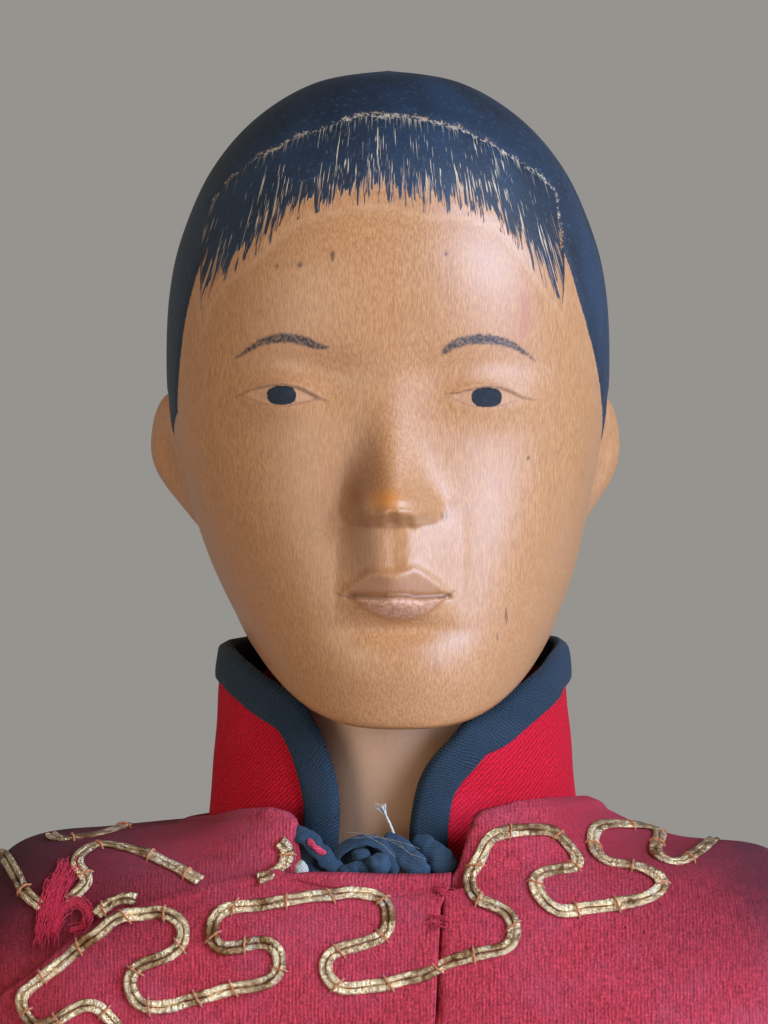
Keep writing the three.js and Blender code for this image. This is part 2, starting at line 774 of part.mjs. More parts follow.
const doll = new THREE.Group();
doll.add(
  piece('head', headSolid(), wood),
  piece('torso', torsoSolid(), cotton),
  piece('neck_tie', tie(neckTubeRadius, tieHeight), thread),
  piece('under_jacket', underJacketSolid(), scarlet),
  piece('collar_band', collarBandSolid(), scarlet),
  piece('collar_binding', collarBindingSolid(), navy),
  piece('collar_knot', knotSolid(), navy),
  piece('collar_loop', loopSolid(), navy),
  piece('jacket_body', jacketBodySolid(), crimson),
  piece('jacket_overlap', overlapSolid(), crimson),
  piece('trouser_seat', seatSolid(), indigo),
);

const sleeveEnd = wrist - sleeveShort;
const underSleeveEnd = wrist + underSleeveShow;
const underSleeveRadius = armRadius + fit + underCloth;
const underSleeveStart = shoulderHalfWidth + underOffset + fit;
bothSides(doll, 0, [
  ['arm', armSolid(), cotton],
  ['hand', handSolid(), wood],
  ['wrist_tie', wristTieSolid(), thread],
  ['under_sleeve',
    sleeveSolid(underSleeveStart, underSleeveEnd, [underSleeveRadius, underSleeveRadius], underCloth),
    scarlet],
  ['cuff_binding',
    sleeveSolid(underSleeveEnd + fit, underSleeveEnd + fit + cuffBindingWidth,
      [underSleeveRadius + bindingProud, underSleeveRadius + bindingProud], underCloth + bindingProud),
    navy],
  ['sleeve',
    sleeveSolid(armholeReach + fit, sleeveEnd, [sleeveRadius, sleeveRadius, cuffRadius], sleeveCloth),
    crimson],
]);
bothSides(doll, hipSpread, [
  ['leg', legSolid(), cotton],
  ['trouser_leg', trouserSolid(), indigo],
  ['shoe_upper', upperSolid(), shoeCloth],
  ['shoe_sole', soleSolid(), soleCloth],
]);

// Stand the doll with the middle of its box over the origin.
const box = new THREE.Box3().setFromObject(doll);
doll.position.y = -(box.min.y + box.max.y) / 2;

export default doll;
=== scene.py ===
# A carved wooden doll in Chinese dress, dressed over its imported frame.
import json
import bpy
import numpy as np
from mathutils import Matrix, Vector
from mathutils.bvhtree import BVHTree


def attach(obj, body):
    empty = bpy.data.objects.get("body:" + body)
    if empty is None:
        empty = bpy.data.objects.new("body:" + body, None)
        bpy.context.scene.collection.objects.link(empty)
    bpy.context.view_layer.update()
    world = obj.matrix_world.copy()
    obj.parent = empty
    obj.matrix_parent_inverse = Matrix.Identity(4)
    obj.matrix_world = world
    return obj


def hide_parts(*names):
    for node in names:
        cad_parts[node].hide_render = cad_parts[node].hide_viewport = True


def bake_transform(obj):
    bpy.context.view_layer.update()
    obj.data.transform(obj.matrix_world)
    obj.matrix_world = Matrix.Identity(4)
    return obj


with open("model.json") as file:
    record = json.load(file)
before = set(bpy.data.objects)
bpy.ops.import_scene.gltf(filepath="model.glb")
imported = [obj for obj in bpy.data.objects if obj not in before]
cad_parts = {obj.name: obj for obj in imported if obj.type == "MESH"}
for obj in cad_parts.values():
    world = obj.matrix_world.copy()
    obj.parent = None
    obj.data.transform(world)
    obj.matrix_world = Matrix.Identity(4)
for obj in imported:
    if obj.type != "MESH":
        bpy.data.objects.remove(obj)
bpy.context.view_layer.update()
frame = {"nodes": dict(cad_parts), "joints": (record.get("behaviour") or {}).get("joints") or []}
mm = 0.001
jointAt = {j["name"]: np.array(j["pos_m"]) / mm for j in frame["joints"]}
middleY = jointAt["neck_turn"][1]          # the neck's axis lies a little behind the origin
seed = np.random.default_rng(11)
print("frame loaded,", len(frame["nodes"]), "nodes")

# The picture's view: sizes in mm on the plane through the neck's axis
view = {"middleX": -0.3, "middleZ": 258.9, "distance": 450.0, "width": 58.14, "sensor": 36}


def seen(points):
    # where a point appears on the neck's plane from the camera: offsets from
    # the picture's middle grow as the point comes nearer
    share = view["distance"] / (view["distance"] + points[..., 1])
    x = view["middleX"] + (points[..., 0] - view["middleX"]) * share
    z = view["middleZ"] + (points[..., 2] - view["middleZ"]) * share
    return x, z


def smoothStep(low, high, value):
    # eases from 0 at low to 1 at high
    t = np.clip((value - low) / (high - low), 0, 1)
    return t * t * (3 - 2 * t)


def between(low, lowFull, highFull, high, value):
    # rises from low to lowFull and falls from highFull to high
    return smoothStep(low, lowFull, value) * (1 - smoothStep(highFull, high, value))


def fullTurn(count):
    # even angles round a full turn
    return np.linspace(0, 2 * np.pi, count, endpoint=False)


def unit(vectors):
    # directions of length one
    return vectors / np.maximum(np.linalg.norm(vectors, axis=-1, keepdims=True), 1e-9)


def runLength(points):
    # length walked along a line up to each of its points
    return np.concatenate([[0], np.cumsum(np.linalg.norm(np.diff(points, axis=0), axis=1))])


def bell(x, z, atX, atZ, spreadX, spreadZ):
    # a rounded bump with its own spread each way
    return np.exp(-0.5 * (((x - atX) / spreadX) ** 2 + ((z - atZ) / spreadZ) ** 2))


def smoothRows(rows, at):
    # Catmull-Rom curve through table rows, read at fractional row numbers
    rows = np.asarray(rows, float)
    last = len(rows) - 1
    i = np.clip(np.floor(at).astype(int), 0, last - 1)
    f = (np.asarray(at) - i)[:, None]
    a, b, c, d = rows[np.maximum(i - 1, 0)], rows[i], rows[i + 1], rows[np.minimum(i + 2, last)]
    curve = 2 * b + (c - a) * f + (2 * a - 5 * b + 4 * c - d) * f ** 2
    return 0.5 * (curve + (3 * b - a - 3 * c + d) * f ** 3)


def smoothPath(points, count):
    # an even walk along the Catmull-Rom curve through the points
    points = np.asarray(points, float)
    fine = smoothRows(points, np.linspace(0, len(points) - 1, 24 * len(points)))
    run = runLength(fine)
    even = np.linspace(0, run[-1], count)
    return np.stack([np.interp(even, run, fine[:, k]) for k in range(points.shape[1])], 1), run[-1]


def softNoise(x, y, scale, seedNumber):
    # sum of slanted sine waves of random direction and phase, about -1 to 1
    count = 9
    r = np.random.default_rng(seedNumber)
    angle, phase = r.uniform(0, 2 * np.pi, count), r.uniform(0, 2 * np.pi, count)
    pitch = scale * r.uniform(0.6, 1.7, count)
    waves = [np.sin((x * np.cos(a) + y * np.sin(a)) * 2 * np.pi / s + p)
             for a, s, p in zip(angle, pitch, phase)]
    return sum(waves) / (count / 2)


def gridQuads(rows, cols, closeRows=False, closeCols=False):
    # the four corners of each cell of a grid, closed round in either direction
    i, j = np.meshgrid(np.arange(rows if closeRows else rows - 1),
                       np.arange(cols if closeCols else cols - 1), indexing="ij")
    up, side = (i + 1) % rows, (j + 1) % cols
    return np.stack([i * cols + j, i * cols + side, up * cols + side, up * cols + j], -1).reshape(-1, 4)


def surface(points, closeRows=False, closeCols=False, uv=None, flip=False, **values):
    # a grid of points as one part of a mesh
    rows, cols = points.shape[:2]
    quads = gridQuads(rows, cols, closeRows, closeCols)
    part = {"points": points.reshape(-1, 3), "quads": quads[:, ::-1] if flip else quads}
    part["uv"] = np.zeros((rows * cols, 2)) if uv is None else np.asarray(uv, float).reshape(-1, 2)
    part["values"] = {k: np.asarray(v, float).reshape(-1) for k, v in values.items()}
    return part


def spread(*axes):
    # values of each direction spread over one grid of points
    return np.stack(np.broadcast_arrays(*axes), -1)


def aroundUv(v, radius, along):
    # the cloth's own directions: round a piece of this radius, and along it
    return spread(v * radius, along)


def normalsOf(points, closeCols):
    # cross product of the two grid directions
    padded = np.concatenate([points[:, -2:], points, points[:, :2]], 1) if closeCols else points
    alongCols = np.gradient(padded, axis=1)
    alongRows = np.gradient(padded, axis=0)
    if closeCols:
        alongCols, alongRows = alongCols[:, 2:-2], alongRows[:, 2:-2]
    return unit(np.cross(alongCols, alongRows))


def calmed(n, passes, closeCols):
    # directions averaged with their neighbours again and again, so that
    # small folds keep the cloth's two faces apart
    for _ in range(passes):
        side = np.concatenate([n[:, -1:], n, n[:, :1]] if closeCols else [n[:, :1], n, n[:, -1:]], 1)
        n = (side[:, :-2] + side[:, 2:] + n) / 3
        tall = np.concatenate([n[:1], n, n[-1:]])
        n = (tall[:-2] + tall[2:] + n) / 3
    return unit(n)


def clothShell(points, cloth, closeCols, uv=None, calm=0, **values):
    # a cloth wall: the outer face, a rounded edge, the inner face and a rounded edge back to the start
    n = calmed(normalsOf(points, closeCols), calm, closeCols)
    inner = points - n * cloth
    ends = []
    for at, step in ((-1, points[-1] - points[-2]), (0, points[0] - points[1])):
        ends.append((points[at] + inner[at]) / 2 + unit(step) * cloth * 0.45)
    rows = np.concatenate([points, ends[0][None], inner[::-1], ends[1][None]])
    stack = lambda v: np.concatenate([v, v[-1:], v[::-1], v[:1]])
    part = surface(rows, True, closeCols, None if uv is None else stack(uv),
                   **{k: stack(v) for k, v in values.items()})
    if not closeCols:
        count, cols = len(points), points.shape[1]
        i = np.arange(count - 1)
        j = 2 * count - i          # the inner row that faces outer row i
        first = np.stack([i * cols, (i + 1) * cols, (j - 1) * cols, j * cols], 1)
        part["quads"] = np.concatenate([part["quads"], first, first[:, ::-1] + cols - 1])
        tips = np.array([[count - 1, count, count + 1], [0, 2 * count, 2 * count + 1]]) * cols
        part["tris"] = np.concatenate([tips, tips[:, ::-1] + cols - 1])
    return part


def tubeFrames(path):
    # a direction, a side and an up vector at each point of a path, turned as little as possible
    along = unit(np.gradient(path, axis=0))
    up = np.zeros_like(path)
    up[0] = unit(np.cross(along[0], (0.31, 0.84, 0.45)))
    for i in range(1, len(path)):
        up[i] = unit(up[i - 1] - along[i] * np.dot(up[i - 1], along[i]))
    return along, np.cross(up, along), up


def tube(path, radius, sides=10, flat=1.0, up=None, girth=1.0):
    # a round or flattened section carried along a path, with tapered closed ends
    path = np.asarray(path, float)
    radius = np.broadcast_to(np.asarray(radius, float), len(path))
    along, side, own = tubeFrames(path)
    if up is not None:
        own = unit(up - along * np.sum(up * along, 1, keepdims=True))
        side = np.cross(own, along)
    angle = fullTurn(sides)
    ring = side[:, None] * np.cos(angle)[:, None] + own[:, None] * np.sin(angle)[:, None] * flat
    rows = path[:, None] + ring * radius[:, None, None]
    rows = np.concatenate([np.repeat(path[:1, None], sides, 1), rows, np.repeat(path[-1:, None], sides, 1)])
    run = runLength(path)
    run = np.concatenate([run[:1], run, run[-1:]])
    uv = spread(run[:, None], (girth * angle / (2 * np.pi))[None])
    return surface(rows, False, True, uv)


def offsetsOf(parts):
    # where each part's points start when the parts are joined
    return np.concatenate([[0], np.cumsum([len(p["points"]) for p in parts])])


def addPiece(name, parts, material, body, stands=(), blend=None):
    # joins the parts into one mesh in metres and sets it riding on its body; a piece given a blend stays in
    # place, riding on no body
    parts = parts if isinstance(parts, list) else [parts]
    offsets = offsetsOf(parts)
    points = np.concatenate([p["points"] for p in parts]).astype(float)
    quads = np.concatenate([p["quads"] + o for p, o in zip(parts, offsets)])
    tris = np.concatenate([p.get("tris", np.zeros((0, 3), int)) + o for p, o in zip(parts, offsets)])
    uv = np.concatenate([p["uv"] for p in parts])
    points[:, 1] += middleY
    # points that coincide become one, and a quad that loses a corner so becomes a triangle
    _, first, index = np.unique(np.round(points, 5), axis=0, return_index=True, return_inverse=True)
    index = index.ravel()
    lost = index[quads] == index[np.roll(quads, -1, axis=1)]
    whole, worn = lost.sum(1) == 0, lost.sum(1) == 1
    tris = np.concatenate([tris, quads[worn][~lost[worn]].reshape(-1, 3)])
    quads = quads[whole]
    loops = np.concatenate([quads.ravel(), tris.ravel()])
    starts = np.concatenate([np.arange(len(quads)) * 4, len(quads) * 4 + np.arange(len(tris)) * 3])
    mesh = bpy.data.meshes.new(name)
    mesh.vertices.add(len(first))
    mesh.vertices.foreach_set("co", (points[first] * mm).ravel())
    mesh.loops.add(len(loops))
    mesh.loops.foreach_set("vertex_index", index[loops].astype(np.int32))
    mesh.polygons.add(len(starts))
    mesh.polygons.foreach_set("loop_start", starts.astype(np.int32))
    mesh.polygons.foreach_set("use_smooth", np.ones(len(starts), bool))
    layer = mesh.uv_layers.new(name="cloth")
    layer.data.foreach_set("uv", uv[loops].ravel())
    for key in parts[0]["values"]:
        value = np.concatenate([p["values"].get(key, np.zeros(len(p["points"]))) for p in parts])
        mesh.attributes.new(key, "FLOAT", "POINT").data.foreach_set("value", value[first].astype(np.float32))
    mesh.update(calc_edges=True)
    mesh.validate()
    mesh.materials.append(material)
    piece = bpy.data.objects.new(name, mesh)
    bpy.context.scene.collection.objects.link(piece)
    if blend:
        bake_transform(piece)
    else:
        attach(piece, body)
    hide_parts(*stands)
    return piece


def colour(r, g, b):
    # screen values from 0 to 255 as the shader's linear colour
    c = np.array([r, g, b]) / 255
    c = np.where(c <= 0.04045, c / 12.92, ((c + 0.055) / 1.055) ** 2.4)
    return (*c, 1.0)


class Field:
    # a shader value that can be added, taken away and multiplied
    def __init__(self, finish, socket):
        self.finish, self.socket = finish, socket

    def __add__(self, other):
        return self.finish.calc("ADD", self, other)

    def __sub__(self, other):
        return self.finish.calc("SUBTRACT", self, other)

    def __rsub__(self, other):
        return self.finish.calc("SUBTRACT", other, self)

    def __mul__(self, other):
        return self.finish.calc("MULTIPLY", self, other)

    __radd__, __rmul__ = __add__, __mul__


class Finish:
    # a material and short ways to add its nodes
    def __init__(self, name, roughness, **sockets):
        self.material = bpy.data.materials.new(name)
        self.material.use_nodes = True
        self.tree = self.material.node_tree
        self.shader = self.tree.nodes["Principled BSDF"]
        self.shader.inputs["Roughness"].default_value = roughness
        for key, value in sockets.items():
            self.shader.inputs[key.replace("_", " ")].default_value = value

    def put(self, kind, inputs=None, **settings):
        node = self.tree.nodes.new("ShaderNode" + kind)
        for key, value in settings.items():
            setattr(node, key, value)
        for key, value in (inputs or {}).items():
            self.feed(node.inputs[key], value)
        return node

    def feed(self, socket, value):
        # links a node's output to the socket, or sets the socket to a plain value
        value = value.socket if isinstance(value, Field) else value
        if isinstance(value, bpy.types.NodeSocket):
            self.tree.links.new(value, socket)
        else:
            socket.default_value = value

    def calc(self, operation, a, b=0.0, clamp=False):
        node = self.put("Math", {0: a, 1: b}, operation=operation, use_clamp=clamp)
        return Field(self, node.outputs[0])

    def step(self, value, low, high):
        inputs = {"Value": value, "From Min": low, "From Max": high}
        return Field(self, self.put("MapRange", inputs, interpolation_type="SMOOTHSTEP").outputs[0])

    def mix(self, share, a, b):
        return self.put("Mix", {0: share, 6: a, 7: b}, data_type="RGBA").outputs[2]

    def value(self, name):
        # a float attribute of the mesh
        return Field(self, self.put("Attribute", attribute_name=name).outputs["Fac"])

    def place(self, scale, uv=False):
        # the piece's own coordinates, or its UV, times a scale
        coords = self.put("TexCoord").outputs["UV" if uv else "Object"]
        return self.put("Mapping", {"Vector": coords, "Scale": scale}).outputs[0]

    def cloth(self):
        # the two directions of the piece's own UV, mm
        split = self.put("SeparateXYZ", {0: self.put("TexCoord").outputs["UV"]})
        return Field(self, split.outputs[0]), Field(self, split.outputs[1])

    def noise(self, where, detail=3.0, rough=0.55):
        inputs = {"Vector": where, "Scale": 1.0, "Detail": detail, "Roughness": rough}
        return Field(self, self.put("TexNoise", inputs).outputs[0])

    def bump(self, height, strength, distance):
        return self.put("Bump", {"Height": height, "Strength": strength, "Distance": distance}).outputs[0]

    def link(self, **sockets):
        for key, value in sockets.items():
            self.feed(self.shader.inputs[key.replace("_", " ")], value)
        return self.material


def twill(name, light, dark, fade, pitch, slant, roughness=0.85, depth=0.5, sheen=0.06, faded=0.3):
    # diagonal ribs across the cloth's own UV in mm, broken into
    # threads, with slubs and a slow fade over the piece
    f = Finish(name, roughness, Sheen_Weight=sheen, Sheen_Roughness=0.5, Specular_IOR_Level=0.25)
    u, v = f.cloth()
    wobble = f.noise(f.place((1.6, 1.6, 1), True), detail=2)
    across = u * (np.cos(slant) / pitch) + v * (np.sin(slant) / pitch)
    rib = f.calc("SINE", (across + wobble * 1.1) * (2 * np.pi))
    along = u * (np.sin(slant) / pitch) - v * (np.cos(slant) / pitch)
    thread = f.calc("SINE", along * (2.4 * np.pi))
    weave = rib * 0.36 + (thread * 0.16 + 0.5)
    slub = f.noise(f.place((1.5 / pitch, 1.5 / pitch, 1), True), detail=4, rough=0.75)
    worn = f.noise(f.place((110, 110, 110)), detail=3)
    tone = f.calc("ADD", weave * 0.55, f.step(slub, 0.3, 0.7) * 0.5, clamp=True)
    base = f.mix(tone, dark, light)
    base = f.mix(f.step(worn, 0.48, 0.72) * faded, base, fade)
    lift = weave + slub * 0.9
    return f.link(Base_Color=base, Normal=f.bump(lift, depth, 0.00022))


# Camera and light
scene = bpy.context.scene
scene.view_settings.view_transform = "Standard"
lens = bpy.data.cameras.new("camera")
lens.sensor_fit = "HORIZONTAL"
lens.sensor_width = view["sensor"]
lens.lens = view["sensor"] * view["distance"] / view["width"]
lens.clip_start = 0.01
camera = bpy.data.objects.new("camera", lens)
camera.location = (view["middleX"] * mm, (middleY - view["distance"]) * mm, view["middleZ"] * mm)
camera.rotation_euler = (np.pi / 2, 0, 0)
scene.collection.objects.link(camera)
scene.camera = camera


def addLamp(name, place, target, size, watts, tint):
    # a round soft lamp turned to its target
    lamp = bpy.data.lights.new(name, "AREA")
    lamp.shape = "DISK"
    lamp.size = size
    lamp.energy = watts
    lamp.color = tint
    obj = bpy.data.objects.new(name, lamp)
    obj.location = place
    obj.rotation_euler = (Vector(target) - Vector(place)).to_track_quat("-Z", "Y").to_euler()
    scene.collection.objects.link(obj)
    return obj


# Lamps: place and disk size in metres, power and tint
lamps = {"key": ((0.92, -0.75, 0.62), 0.9, 25.5, (0.71, 0.91, 1.32)),
         "fill": ((-0.9, -1.3, 0.12), 1.0, 11.5, (1.0, 0.9, 0.77)),
         "back": ((0.1, 1.6, 0.3), 0.9, 8.0, (1.0, 0.98, 0.96))}
lampAim = (0, 0, 0.2)
for lampName, (place, size, watts, tint) in lamps.items():
    lampObject = addLamp(lampName, place, lampAim, size, watts, tint)
    lampObject.visible_glossy = lampName != "back"       # no bright rim on the wood
# Sky: pale at the horizon and greyer above, between two heights of the view's direction
studio = {"low": colour(232, 228, 222), "high": colour(122, 118, 112), "from": 0.15, "to": 0.8,
          "strength": 0.38}
world = bpy.data.worlds.new("studio")
world.use_nodes = True
sky = world.node_tree
skyPlace = sky.nodes.new("ShaderNodeSeparateXYZ")
skyShare = sky.nodes.new("ShaderNodeMapRange")
skyTone = sky.nodes.new("ShaderNodeMix")
skyTone.data_type = "RGBA"
skyTone.inputs[6].default_value = studio["low"]
skyTone.inputs[7].default_value = studio["high"]
skyShare.inputs["From Min"].default_value = studio["from"]
skyShare.inputs["From Max"].default_value = studio["to"]
sky.links.new(sky.nodes.new("ShaderNodeTexCoord").outputs["Generated"], skyPlace.inputs[0])
sky.links.new(skyPlace.outputs[2], skyShare.inputs[0])
sky.links.new(skyShare.outputs[0], skyTone.inputs[0])
sky.links.new(skyTone.outputs[2], sky.nodes["Background"].inputs[0])
sky.nodes["Background"].inputs[1].default_value = studio["strength"]
scene.world = world

# Pale round floor: rings about the doll's feet
stage = {"reach": 2.3, "rings": 24, "sides": 96}
ringAt = np.linspace(0, stage["reach"], stage["rings"])[:, None]
ringTurn = fullTurn(stage["sides"])
rings = spread(ringAt * np.cos(ringTurn), ringAt * np.sin(ringTurn), np.zeros(1))
floorMesh = bpy.data.meshes.new("floor")
floorMesh.from_pydata(rings.reshape(-1, 3).tolist(), [],
                      gridQuads(stage["rings"], stage["sides"], False, True)[:, ::-1].tolist())
floorFinish = Finish("floor_paper", 0.9)
paper = floorFinish.noise(floorFinish.place((3, 3, 3)))
floorTone = floorFinish.mix(paper, colour(196, 195, 192), colour(206, 205, 202))
floorMesh.materials.append(floorFinish.link(Base_Color=floorTone))
floor = bpy.data.objects.new("floor", floorMesh)
scene.collection.objects.link(floor)
print("camera, light and floor set")

# Head levels, as in the part: shares of half width, face reach, back
# reach, height at front, side and back, set back
head = {"chin": 243.0, "height": 49.2, "halfWidth": 16.65, "face": 17.0, "back": 22.5, "square": 2.2,
        "rows": 268, "columns": 350, "frontCrowd": 0.6, "lean": 0.9, "rise": 2.6, "unroll": 16.0,
        "fan": 41, "fanTop": 78.9}
headShares = np.array([
    [0.5, 0.49, 0.38, 0.115, 0.14, 0.15, 0], [0.6, 0.72, 0.42, 0.065, 0.16, 0.185, 0.1],
    [0.68, 0.86, 0.46, 0, 0.135, 0.19, 0.11], [0.745, 0.925, 0.52, 0.035, 0.175, 0.225, 0.11],
    [0.84, 0.96, 0.63, 0.12, 0.255, 0.295, 0.1], [0.93, 0.96, 0.81, 0.245, 0.37, 0.385, 0.06],
    [0.985, 0.935, 0.93, 0.38, 0.47, 0.475, 0.03], [1, 0.94, 0.99, 0.52, 0.56, 0.57, 0.02],
    [0.985, 0.965, 1, 0.66, 0.66, 0.66, 0.02], [0.93, 0.93, 0.96, 0.745, 0.745, 0.745, 0.02],
    [0.8, 0.82, 0.85, 0.845, 0.845, 0.845, 0.02], [0.6, 0.63, 0.65, 0.925, 0.925, 0.925, 0.02],
    [0.33, 0.36, 0.36, 0.98, 0.98, 0.98, 0.02], [0.0, 0.0, 0.0, 1, 1, 1, 0.02]])


def levelSurface(rows, angle, square, rise):
    # each row is a rounded ring: x grows with the sine and y with the cosine, both to the power 2/square;
    # the height runs from front to side to back with the sine's power, and the widest place can be set back
    s, c = np.sin(angle), np.cos(angle)
    square = np.broadcast_to(square, len(rows))[:, None]
    across = np.sign(s) * np.abs(s) ** (2 / square)
    along = np.sign(c) * np.abs(c) ** (2 / square)
    w, f, b, zF, zS, zB, back = [rows[:, k, None] for k in range(7)]
    y = back * s ** 2 - np.where(along > 0, f, b) * along
    middle = np.where(along > 0, zF, zB)
    rise = np.broadcast_to(rise, len(rows))[:, None]
    return np.stack([w * across, y, middle + (zS - middle) * np.abs(s) ** rise], -1)


def headSurface():
    # rows crowd on the face, columns crowd at the front
    fine = np.linspace(0, len(headShares) - 1, 1500)
    profile = smoothRows(headShares, fine)
    length = np.hypot(np.gradient(profile[:, 1] * head["face"]), np.gradient(profile[:, 3] * head["height"]))
    height = profile[:, 3] * head["height"]
    crowd = 0.75 + between(3, 7, 28, 34, height)
    run = np.cumsum(length * crowd)
    at = np.interp(np.linspace(run[0], run[-1], head["rows"]), run, fine)
    turn = fullTurn(head["columns"])
    angle = turn - head["frontCrowd"] * np.sin(turn)
    scale = ("halfWidth", "face", "back", "height", "height", "height", "back")
    rows = smoothRows(headShares, at) * [head[key] for key in scale]
    rows[:, 3:6] += head["chin"]
    points = levelSurface(rows, angle, head["square"], head["rise"])
    points[..., 0] += head["lean"] * (1 - smoothStep(2, 22, points[..., 2] - head["chin"]))
    return points, np.broadcast_to(np.where(angle > np.pi, angle - 2 * np.pi, angle), points.shape[:2])


# Places on the face, in mm from the face's middle line and above the chin, as the picture shows them
face = {"noseTip": (0.45, 16.75), "noseTop": 25.5, "noseHeight": 3.3, "mouth": 9.54, "mouthMiddle": 0.8,
        "mouthHalf": 4.25, "leftEye": (-8.0, 24.64, 2.75, 0.88, 0.72, -0.055),
        "rightEye": (7.42, 24.56, 2.75, 0.8, 0.76, -0.03)}
lipTop = [(-3.6, 9.56), (-2.5, 10.3), (-1.6, 10.95), (-0.95, 11.17), (0.0, 11.14), (0.68, 11.04),
          (1.5, 11.28), (2.2, 11.36), (3.2, 10.75), (4.67, 9.56)]
lipFoot = [(-2.7, 9.5), (-1.8, 8.65), (-0.5, 7.95), (0.9, 7.68), (2.3, 7.88), (3.5, 8.6), (4.4, 9.5)]


def almond(x, z, eye):
    # how deep a place lies inside the eye's opening, between its upper and lower curve
    atX, atZ, half, upper, lower, tilt = eye
    bow = 1 - ((x - atX) / half) ** 2
    line = atZ + tilt * (x - atX)
    return np.minimum(line + upper * bow - z, z - line + lower * bow)


def lipLines(x):
    # the height of the lips' meeting line, upper edge and lower edge across the mouth
    u = (x - face["mouthMiddle"]) / face["mouthHalf"]
    inside = np.clip(1 - u ** 2, 0, 1)
    meet = face["mouth"] + 0.08 * np.cos(u * 7) * inside
    edges = [smoothRows(line, np.linspace(0, len(line) - 1, 90)) for line in (lipTop, lipFoot)]
    top, foot = [np.interp(x, edge[:, 0], edge[:, 1]) for edge in edges]
    return meet, np.maximum(top, meet), np.minimum(foot, meet), inside


# Heights of the carving's forms, mm
carving = {"nostrils": 0.9, "noseSide": 0.5, "noseCut": 0.16, "block": 1.5, "groove": 0.34, "cheekLine": 0.1,
           "upperLip": 0.3, "lowerLip": 0.75, "mouthLine": 0.34, "underLip": 0.42, "chin": 0.5,
           "eyeCorner": 0.7, "browFold": 0.26, "eyeball": 0.6, "opening": 0.15, "lidBrim": 0.1}


def faceRelief(x, z):
    # how far the carving stands forward of the plain head: rounded bumps and hollows at the face's places
    tipX, tipZ = face["noseTip"]
    along = np.clip((face["noseTop"] - z) / (face["noseTop"] - tipZ), 0, 1)
    middle = 0.15 + (tipX - 0.15) * along
    notch = 0.12 * np.sin(2.1 * x + 0.6) + 0.06 * np.sin(5.3 * x)
    under = smoothStep(14.75 + notch, 16.0 + 0.6 * notch, z)
    nose = (face["noseHeight"] * along ** 1.6 * under
            * np.exp(-0.5 * ((x - middle) / (1.0 + 0.62 * along)) ** 2))
    sides = bell(x, z, tipX - 2.6, 16.2, 0.8, 1.1) + 0.7 * bell(x, z, tipX + 2.2, 16.1, 0.95, 1.0)
    nose += carving["nostrils"] * under * sides
    nose -= (carving["noseSide"] * bell(x, z, tipX - 4.0, 16.6, 0.7, 2.2)
             + carving["noseCut"] * bell(x, z, tipX + 3.8, 16.0, 0.45, 0.8))
    # under the nose a roof-shaped block with a shallow groove down its ridge
    away = np.sqrt((x - tipX) ** 2 + 0.45) - 0.67
    slope = away / np.where(x < tipX, 3.8, 4.6)
    block = carving["block"] * np.clip(1 - slope, 0, 1) ** 1.1 * between(7.0, 9.4, 14.6, 16.4, z)
    block -= (carving["groove"] * np.exp(-0.5 * ((x - tipX) / 0.5) ** 2)
              * between(11.2, 11.8, 14.4, 15.2, z))
    block -= carving["cheekLine"] * bell(x, z, 5.0, 12.6, 0.9, 2.6)
    meet, top, foot, inside = lipLines(x)
    upper = np.clip((z - meet) / np.maximum(top - meet, 0.05), 0, 1)
    lower = np.clip((meet - z) / np.maximum(meet - foot, 0.05), 0, 1)
    over = np.where(z > top, np.exp(-((z - top) / 0.5) ** 2), 1)
    upperLip = carving["upperLip"] * upper ** 0.8 * over
    lowerLip = carving["lowerLip"] * np.sin(np.pi * np.clip(lower, 0, 1) ** 0.6) ** 0.8
    lips = inside ** 0.5 * np.where(z > meet, upperLip, lowerLip)
    lips -= carving["mouthLine"] * np.exp(-((z - meet) / 0.18) ** 2) * smoothStep(0, 0.25, inside)
    lips -= (carving["underLip"] * bell(x, z, 0.9, 6.9, 2.6, 0.55)
             - carving["chin"] * bell(x, z, 1.1, 3.8, 3.6, 1.8))
    eyes = 0
    for eye in (face["leftEye"], face["rightEye"]):
        atX, atZ = eye[:2]
        toNose = -np.sign(atX)
        eyes = (eyes - carving["eyeCorner"] * bell(x, z, atX + toNose * 3.7, atZ + 0.7, 1.9, 1.7)
                - carving["browFold"] * bell(x, z, atX, atZ + 2.1, 3.6, 1.0))
        eyes = eyes + carving["eyeball"] * bell(x, z, atX, atZ, 3.0, 1.3)
        inner = almond(x, z, eye)
        eyes = eyes - carving["opening"] * smoothStep(-0.12, 0.3, inner)
        brim = np.clip(z - atZ, 0, 1) * np.exp(-((inner + 0.1) / 0.13) ** 2)
        eyes = eyes + carving["lidBrim"] * brim
    return nose + block + lips + eyes


def lineDistance(x, z, line, closed=False):
    # distance to a broken line and how far along it the nearest place is, from 0 to 1
    line = np.asarray(line, float)
    line = np.concatenate([line, line[:1]]) if closed else line
    best, where = np.full(x.shape, 1e9), np.zeros(x.shape)
    run = runLength(line)
    for (ax, az), (bx, bz), start, end in zip(line[:-1], line[1:], run[:-1], run[1:]):
        dx, dz = bx - ax, bz - az
        t = np.clip(((x - ax) * dx + (z - az) * dz) / max(dx * dx + dz * dz, 1e-9), 0, 1)
        d = np.hypot(x - ax - t * dx, z - az - t * dz)
        where = np.where(d < best, (start + t * (end - start)) / run[-1], where)
        best = np.minimum(best, d)
    return best, where


def insideOf(x, z, ring):
    # even-odd crossing count against a closed outline
    ring = np.asarray(ring, float)
    odd = np.zeros(x.shape, bool)
    for (ax, az), (bx, bz) in zip(ring, np.roll(ring, -1, axis=0)):
        if az != bz:
            odd ^= ((az > z) != (bz > z)) & (x < (bx - ax) * (z - az) / (bz - az) + ax)
    return odd


